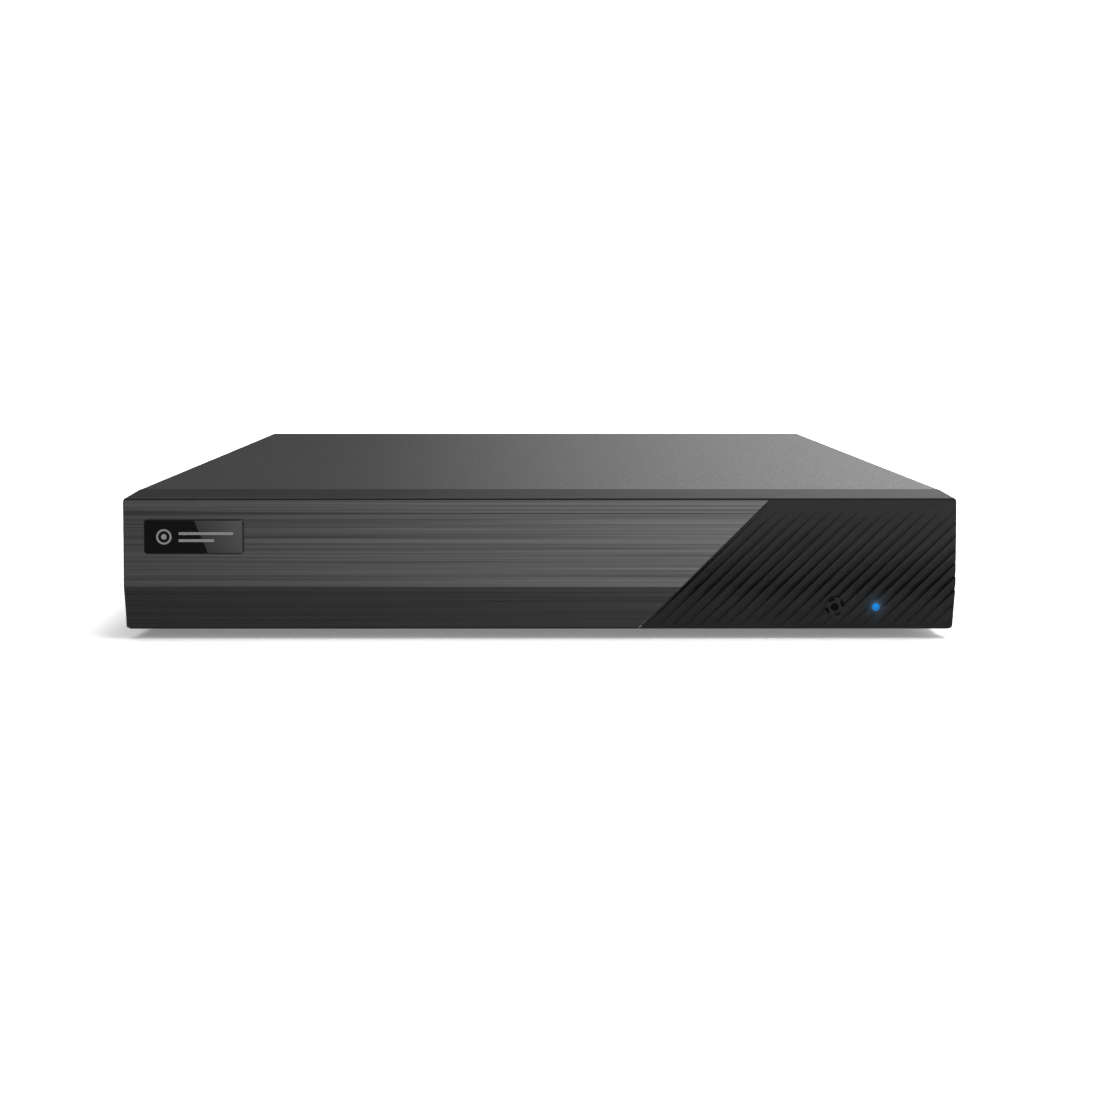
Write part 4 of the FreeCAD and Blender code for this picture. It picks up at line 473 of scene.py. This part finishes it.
def solid_of(bm, name):
    """An object made of a bmesh, with its faces turned outwards."""
    mesh = bpy.data.meshes.new(name)
    bmesh.ops.recalc_face_normals(bm, faces=bm.faces)
    bm.to_mesh(mesh)
    bm.free()
    obj = bpy.data.objects.new(name, mesh)
    bpy.context.scene.collection.objects.link(obj)
    return obj


def turned(profile, segments=48):
    """Closed solid of revolution about +Z from (radius, height) points that start and end on the axis."""
    bm = bmesh.new()
    rings = []
    for radius, height in profile:
        if radius == 0:
            rings.append([bm.verts.new((0, 0, height))])
            continue
        turns = [2 * math.pi * step / segments for step in range(segments)]
        rings.append([bm.verts.new((radius * math.cos(t), radius * math.sin(t), height)) for t in turns])
    for low, high in zip(rings, rings[1:]):
        for step in range(segments):
            after = (step + 1) % segments
            under = [low[step % len(low)], low[after % len(low)]]
            over = [high[after % len(high)], high[step % len(high)]]
            bm.faces.new(list(dict.fromkeys(under + over)))
    return bm


def cross_cutter(reach, width, depth, top):
    """Cross that goes depth below top, where it is narrower, and stands clear of it above."""
    clear = 0.6
    bm = bmesh.new()
    for turn in (0, math.pi / 2):
        made = bmesh.ops.create_cube(bm, size=1.0)["verts"]
        for vert in made:
            along, across, end = (1.0, 1.0, clear) if vert.co.z > 0 else (0.42, 0.7, -depth)
            vert.co.x *= 2 * reach * along
            vert.co.y *= width * across
            vert.co.z = top + end
        bmesh.ops.rotate(bm, verts=made, cent=(0, 0, 0), matrix=Matrix.Rotation(turn, 3, "Z"))
    return bm


def screw_mesh(head_radius, head_height, shank_radius, shank_length):
    """One pan-head screw in millimetres: the head's underside is at z 0 and the head points along +Z."""
    rim, root = head_height * 0.45, shank_radius * 0.86
    pitch, groove, chamfer = 0.5, 0.05, 0.1
    dome_steps = 8
    dome = [(0, head_height)]
    for step in range(1, dome_steps + 1):
        angle = math.pi / 2 * step / dome_steps
        dome.append((head_radius * math.sin(angle), rim + (head_height - rim) * math.cos(angle)))
    threads = []
    for turn in range(int(shank_length / pitch) - 1):
        start = -pitch * turn
        threads += [(root, start - groove), (shank_radius, start - pitch / 2)]
    tip = -shank_length
    profile = dome + [(head_radius, 0.0)] + threads + [(shank_radius * 0.6, tip + chamfer), (0, tip)]
    screw = solid_of(turned(profile[::-1]), "screw_blank")
    cross = cross_cutter(
        reach=head_radius * 0.52, width=head_radius * 0.2, depth=head_height * 0.7, top=head_height,
    )
    cutter = solid_of(cross, "cutter")
    carve = screw.modifiers.new("recess", "BOOLEAN")
    carve.operation, carve.solver, carve.object = "DIFFERENCE", "EXACT", cutter
    carve.use_self = True
    bpy.context.view_layer.update()
    shown = screw.evaluated_get(bpy.context.evaluated_depsgraph_get())
    mesh = bpy.data.meshes.new_from_object(shown)
    bpy.data.objects.remove(screw)
    bpy.data.objects.remove(cutter)
    return mesh


def screws(name, node, places, outward, sizes, twist):
    """Replaces a CAD screw node. places are where the heads' undersides meet the part, outward is where each
    head points, sizes are screw_mesh's own, and twist turns each screw on from the one before."""
    blank = screw_mesh(*sizes)
    bm = bmesh.new()
    for number, (place, direction) in enumerate(zip(places, outward)):
        one = blank.copy()
        turn = Vector(direction).to_track_quat("Z", "Y").to_matrix().to_4x4()
        spin = Matrix.Rotation(twist * (number + 1), 4, "Z")
        one.transform(Matrix.Translation(place) @ turn @ spin @ Matrix.Scale(MM, 4))
        bm.from_mesh(one)
        bpy.data.meshes.remove(one)
    obj = solid_of(bm, name)
    for face in obj.data.polygons:
        face.use_smooth = True
    obj.data.set_sharp_from_angle(angle=math.radians(32))
    slot = SLOT_OF[node]
    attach(dress(obj, LOOKS[slot]), "case")
    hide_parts(node)


def pairs(low, high, first, second, inset):
    """The four corners of a box, inset, as (first, second) coordinates of its two named axes."""
    ends = [(getattr(low, axis) + inset, getattr(high, axis) - inset) for axis in (first, second)]
    return [(one, other) for one in ends[0] for other in ends[1]]


# Radius and height of the head, radius and length of the shank, in millimetres
COVER_SCREW = (2.8, 1.5, 1.45, 5.0)
FAN_SCREW = (2.6, 1.2, 1.3, 9.0)
DRIVE_SCREW = (2.8, 1.5, 1.45, 8.0)

low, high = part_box("cover_screws")
side = high.x - COVER_SCREW[1] * MM
front_to_back = (low.y + COVER_SCREW[0] * MM, high.y - COVER_SCREW[0] * MM)
spots = [(hand, y) for hand in (-1, 1) for y in front_to_back]
screws(
    "cover_screw_set", "cover_screws",
    [Vector((hand * side, y, (low.z + high.z) / 2)) for hand, y in spots],
    [(hand, 0, 0) for hand, y in spots], COVER_SCREW, twist=0.7,
)
low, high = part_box("fan_screws")
screws(
    "fan_screw_set", "fan_screws",
    [Vector((x, high.y - FAN_SCREW[1] * MM, z)) for x, z in pairs(low, high, "x", "z", FAN_SCREW[0] * MM)],
    [(0, 1, 0)] * 4, FAN_SCREW, twist=0.9,
)
low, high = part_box("hdd_mount_screws")
screws(
    "drive_screw_set", "hdd_mount_screws",
    [Vector((x, y, low.z + DRIVE_SCREW[1] * MM)) for x, y in pairs(low, high, "x", "y", DRIVE_SCREW[0] * MM)],
    [(0, 0, -1)] * 4, DRIVE_SCREW, twist=0.5,
)


# ---------------------------------------------------------------- floor, world, lights and camera

# Two numbers are where a change starts and ends. Four also give the strength, or a factor, at both ends.
FLOOR_SIZE = 16
FLOOR_NEAR, FLOOR_FAR = (0.0, 0.12, 0.2, 0.75), (0.3, 2.5, 0.0, 0.6)
FRONT_WIDE, FRONT_RIGHT = (-0.32, 0.16, 0.2, 0.63), (-0.03, 0.16, 0.0, 0.27)
FRONT_FALL, FRONT_DARK = (-0.40, -0.27), 0.03
BACK_WIDE, BACK_FALL = (-0.12, 0.34, 0.04, 2.42), (0.15, 0.5, 1.0, 0.6)
FRONT_TO_BACK, SIDE_TO_TOP = (-0.2, 0.2), (0.55, 0.95)
TOP_LIGHT, SEEN_LIGHT = 0.55, 1.1


def floor():
    """Pale floor, clear from below. It glows more away from the object, which doesn't reflect it."""
    bpy.ops.mesh.primitive_plane_add(size=FLOOR_SIZE, location=(0, 0, 0))
    plane = bpy.context.object
    plane.name = "floor"
    look = Look("floor", Roughness=0.9, Specular_IOR_Level=0.0)
    look.drive("Base Color", look.mix(look.noise(0.4, detail=2), (0.88, 0.88, 0.88), (0.9, 0.9, 0.9)))
    look.shader.inputs["Emission Color"].default_value = (1, 1, 1, 1)
    past_side = look.math("SUBTRACT", look.math("ABSOLUTE", look.x), cad_high.x)
    past_front = look.math("SUBTRACT", look.math("ABSOLUTE", look.y), cad_high.y)
    away = look.math("MAXIMUM", past_side, past_front)
    near = look.spread(away, *FLOOR_NEAR)
    look.drive("Emission Strength", look.math("ADD", near, look.spread(away, *FLOOR_FAR)))
    clear = look.node("ShaderNodeBsdfTransparent")
    sided = look.node("ShaderNodeMixShader")
    look.feed(sided.inputs[0], look.node("ShaderNodeNewGeometry").outputs["Backfacing"])
    look.feed(sided.inputs[1], look.shader.outputs[0])
    look.feed(sided.inputs[2], clear.outputs[0])
    look.feed(look.tree.nodes["Material Output"].inputs["Surface"], sided.outputs[0])
    dress(plane, look)
    plane.visible_glossy = False


class Sky(Look):
    """The studio's surround, as nodes of the world."""

    def __init__(self):
        world = bpy.data.worlds.new("studio")
        bpy.context.scene.world = world
        world.use_nodes = True
        self.tree = world.node_tree
        self.shader = self.tree.nodes["Background"]
        self.shader.inputs["Color"].default_value = (1, 1, 1, 1)
        split = self.node("ShaderNodeSeparateXYZ")
        self.tree.links.new(self.node("ShaderNodeTexCoord").outputs["Generated"], split.inputs[0])
        self.x, self.y, self.z = split.outputs


def surround():
    """White behind the object for the camera. For light and reflections it brightens towards +X, and it is
    dark low in front, so that the face under the bend looks darker than the one above it."""
    sky = Sky()
    front = sky.math("ADD", sky.spread(sky.x, *FRONT_WIDE), sky.spread(sky.x, *FRONT_RIGHT))
    front = sky.math("MULTIPLY", front, sky.spread(sky.z, *FRONT_FALL, smooth=True))
    front = sky.math("ADD", front, FRONT_DARK)
    behind = sky.math("MULTIPLY", sky.spread(sky.x, *BACK_WIDE), sky.spread(sky.z, *BACK_FALL))
    around = sky.blend(sky.spread(sky.y, *FRONT_TO_BACK), front, behind)
    dome = sky.blend(sky.spread(sky.z, *SIDE_TO_TOP, smooth=True), around, TOP_LIGHT)
    seen = sky.node("ShaderNodeLightPath").outputs["Is Camera Ray"]
    sky.drive("Strength", sky.blend(seen, dome, SEEN_LIGHT))


def softbox(name, place, size, power):
    """A round light that points at the object."""
    light = bpy.data.lights.new(name, "AREA")
    light.shape, light.size, light.energy = "DISK", size, power
    obj = bpy.data.objects.new(name, light)
    obj.location = place
    obj.rotation_euler = (-Vector(place)).to_track_quat("-Z", "Y").to_euler()
    bpy.context.scene.collection.objects.link(obj)
    obj.visible_camera = False


def camera():
    """In front of the recorder, a little above it, and tilted down."""
    tilt = math.radians(1.998)
    data = bpy.data.cameras.new("camera")
    data.sensor_width, data.lens = 36.0, 42.02
    data.shift_x, data.shift_y = 0.02, -0.161
    data.clip_start, data.clip_end = 0.01, 30.0
    obj = bpy.data.objects.new("camera", data)
    obj.location = (-3.58 * MM, -506 * MM, 95.5 * MM)
    obj.rotation_euler = (math.pi / 2 - tilt, 0, 0)
    bpy.context.scene.collection.objects.link(obj)
    bpy.context.scene.camera = obj


floor()
surround()
softbox("key", (0.4, -0.1, 1.1), size=0.8, power=14.0)
softbox("fill", (-0.5, 0.1, 1.2), size=0.9, power=4.0)
camera()
bpy.context.scene.view_settings.view_transform = "Standard"
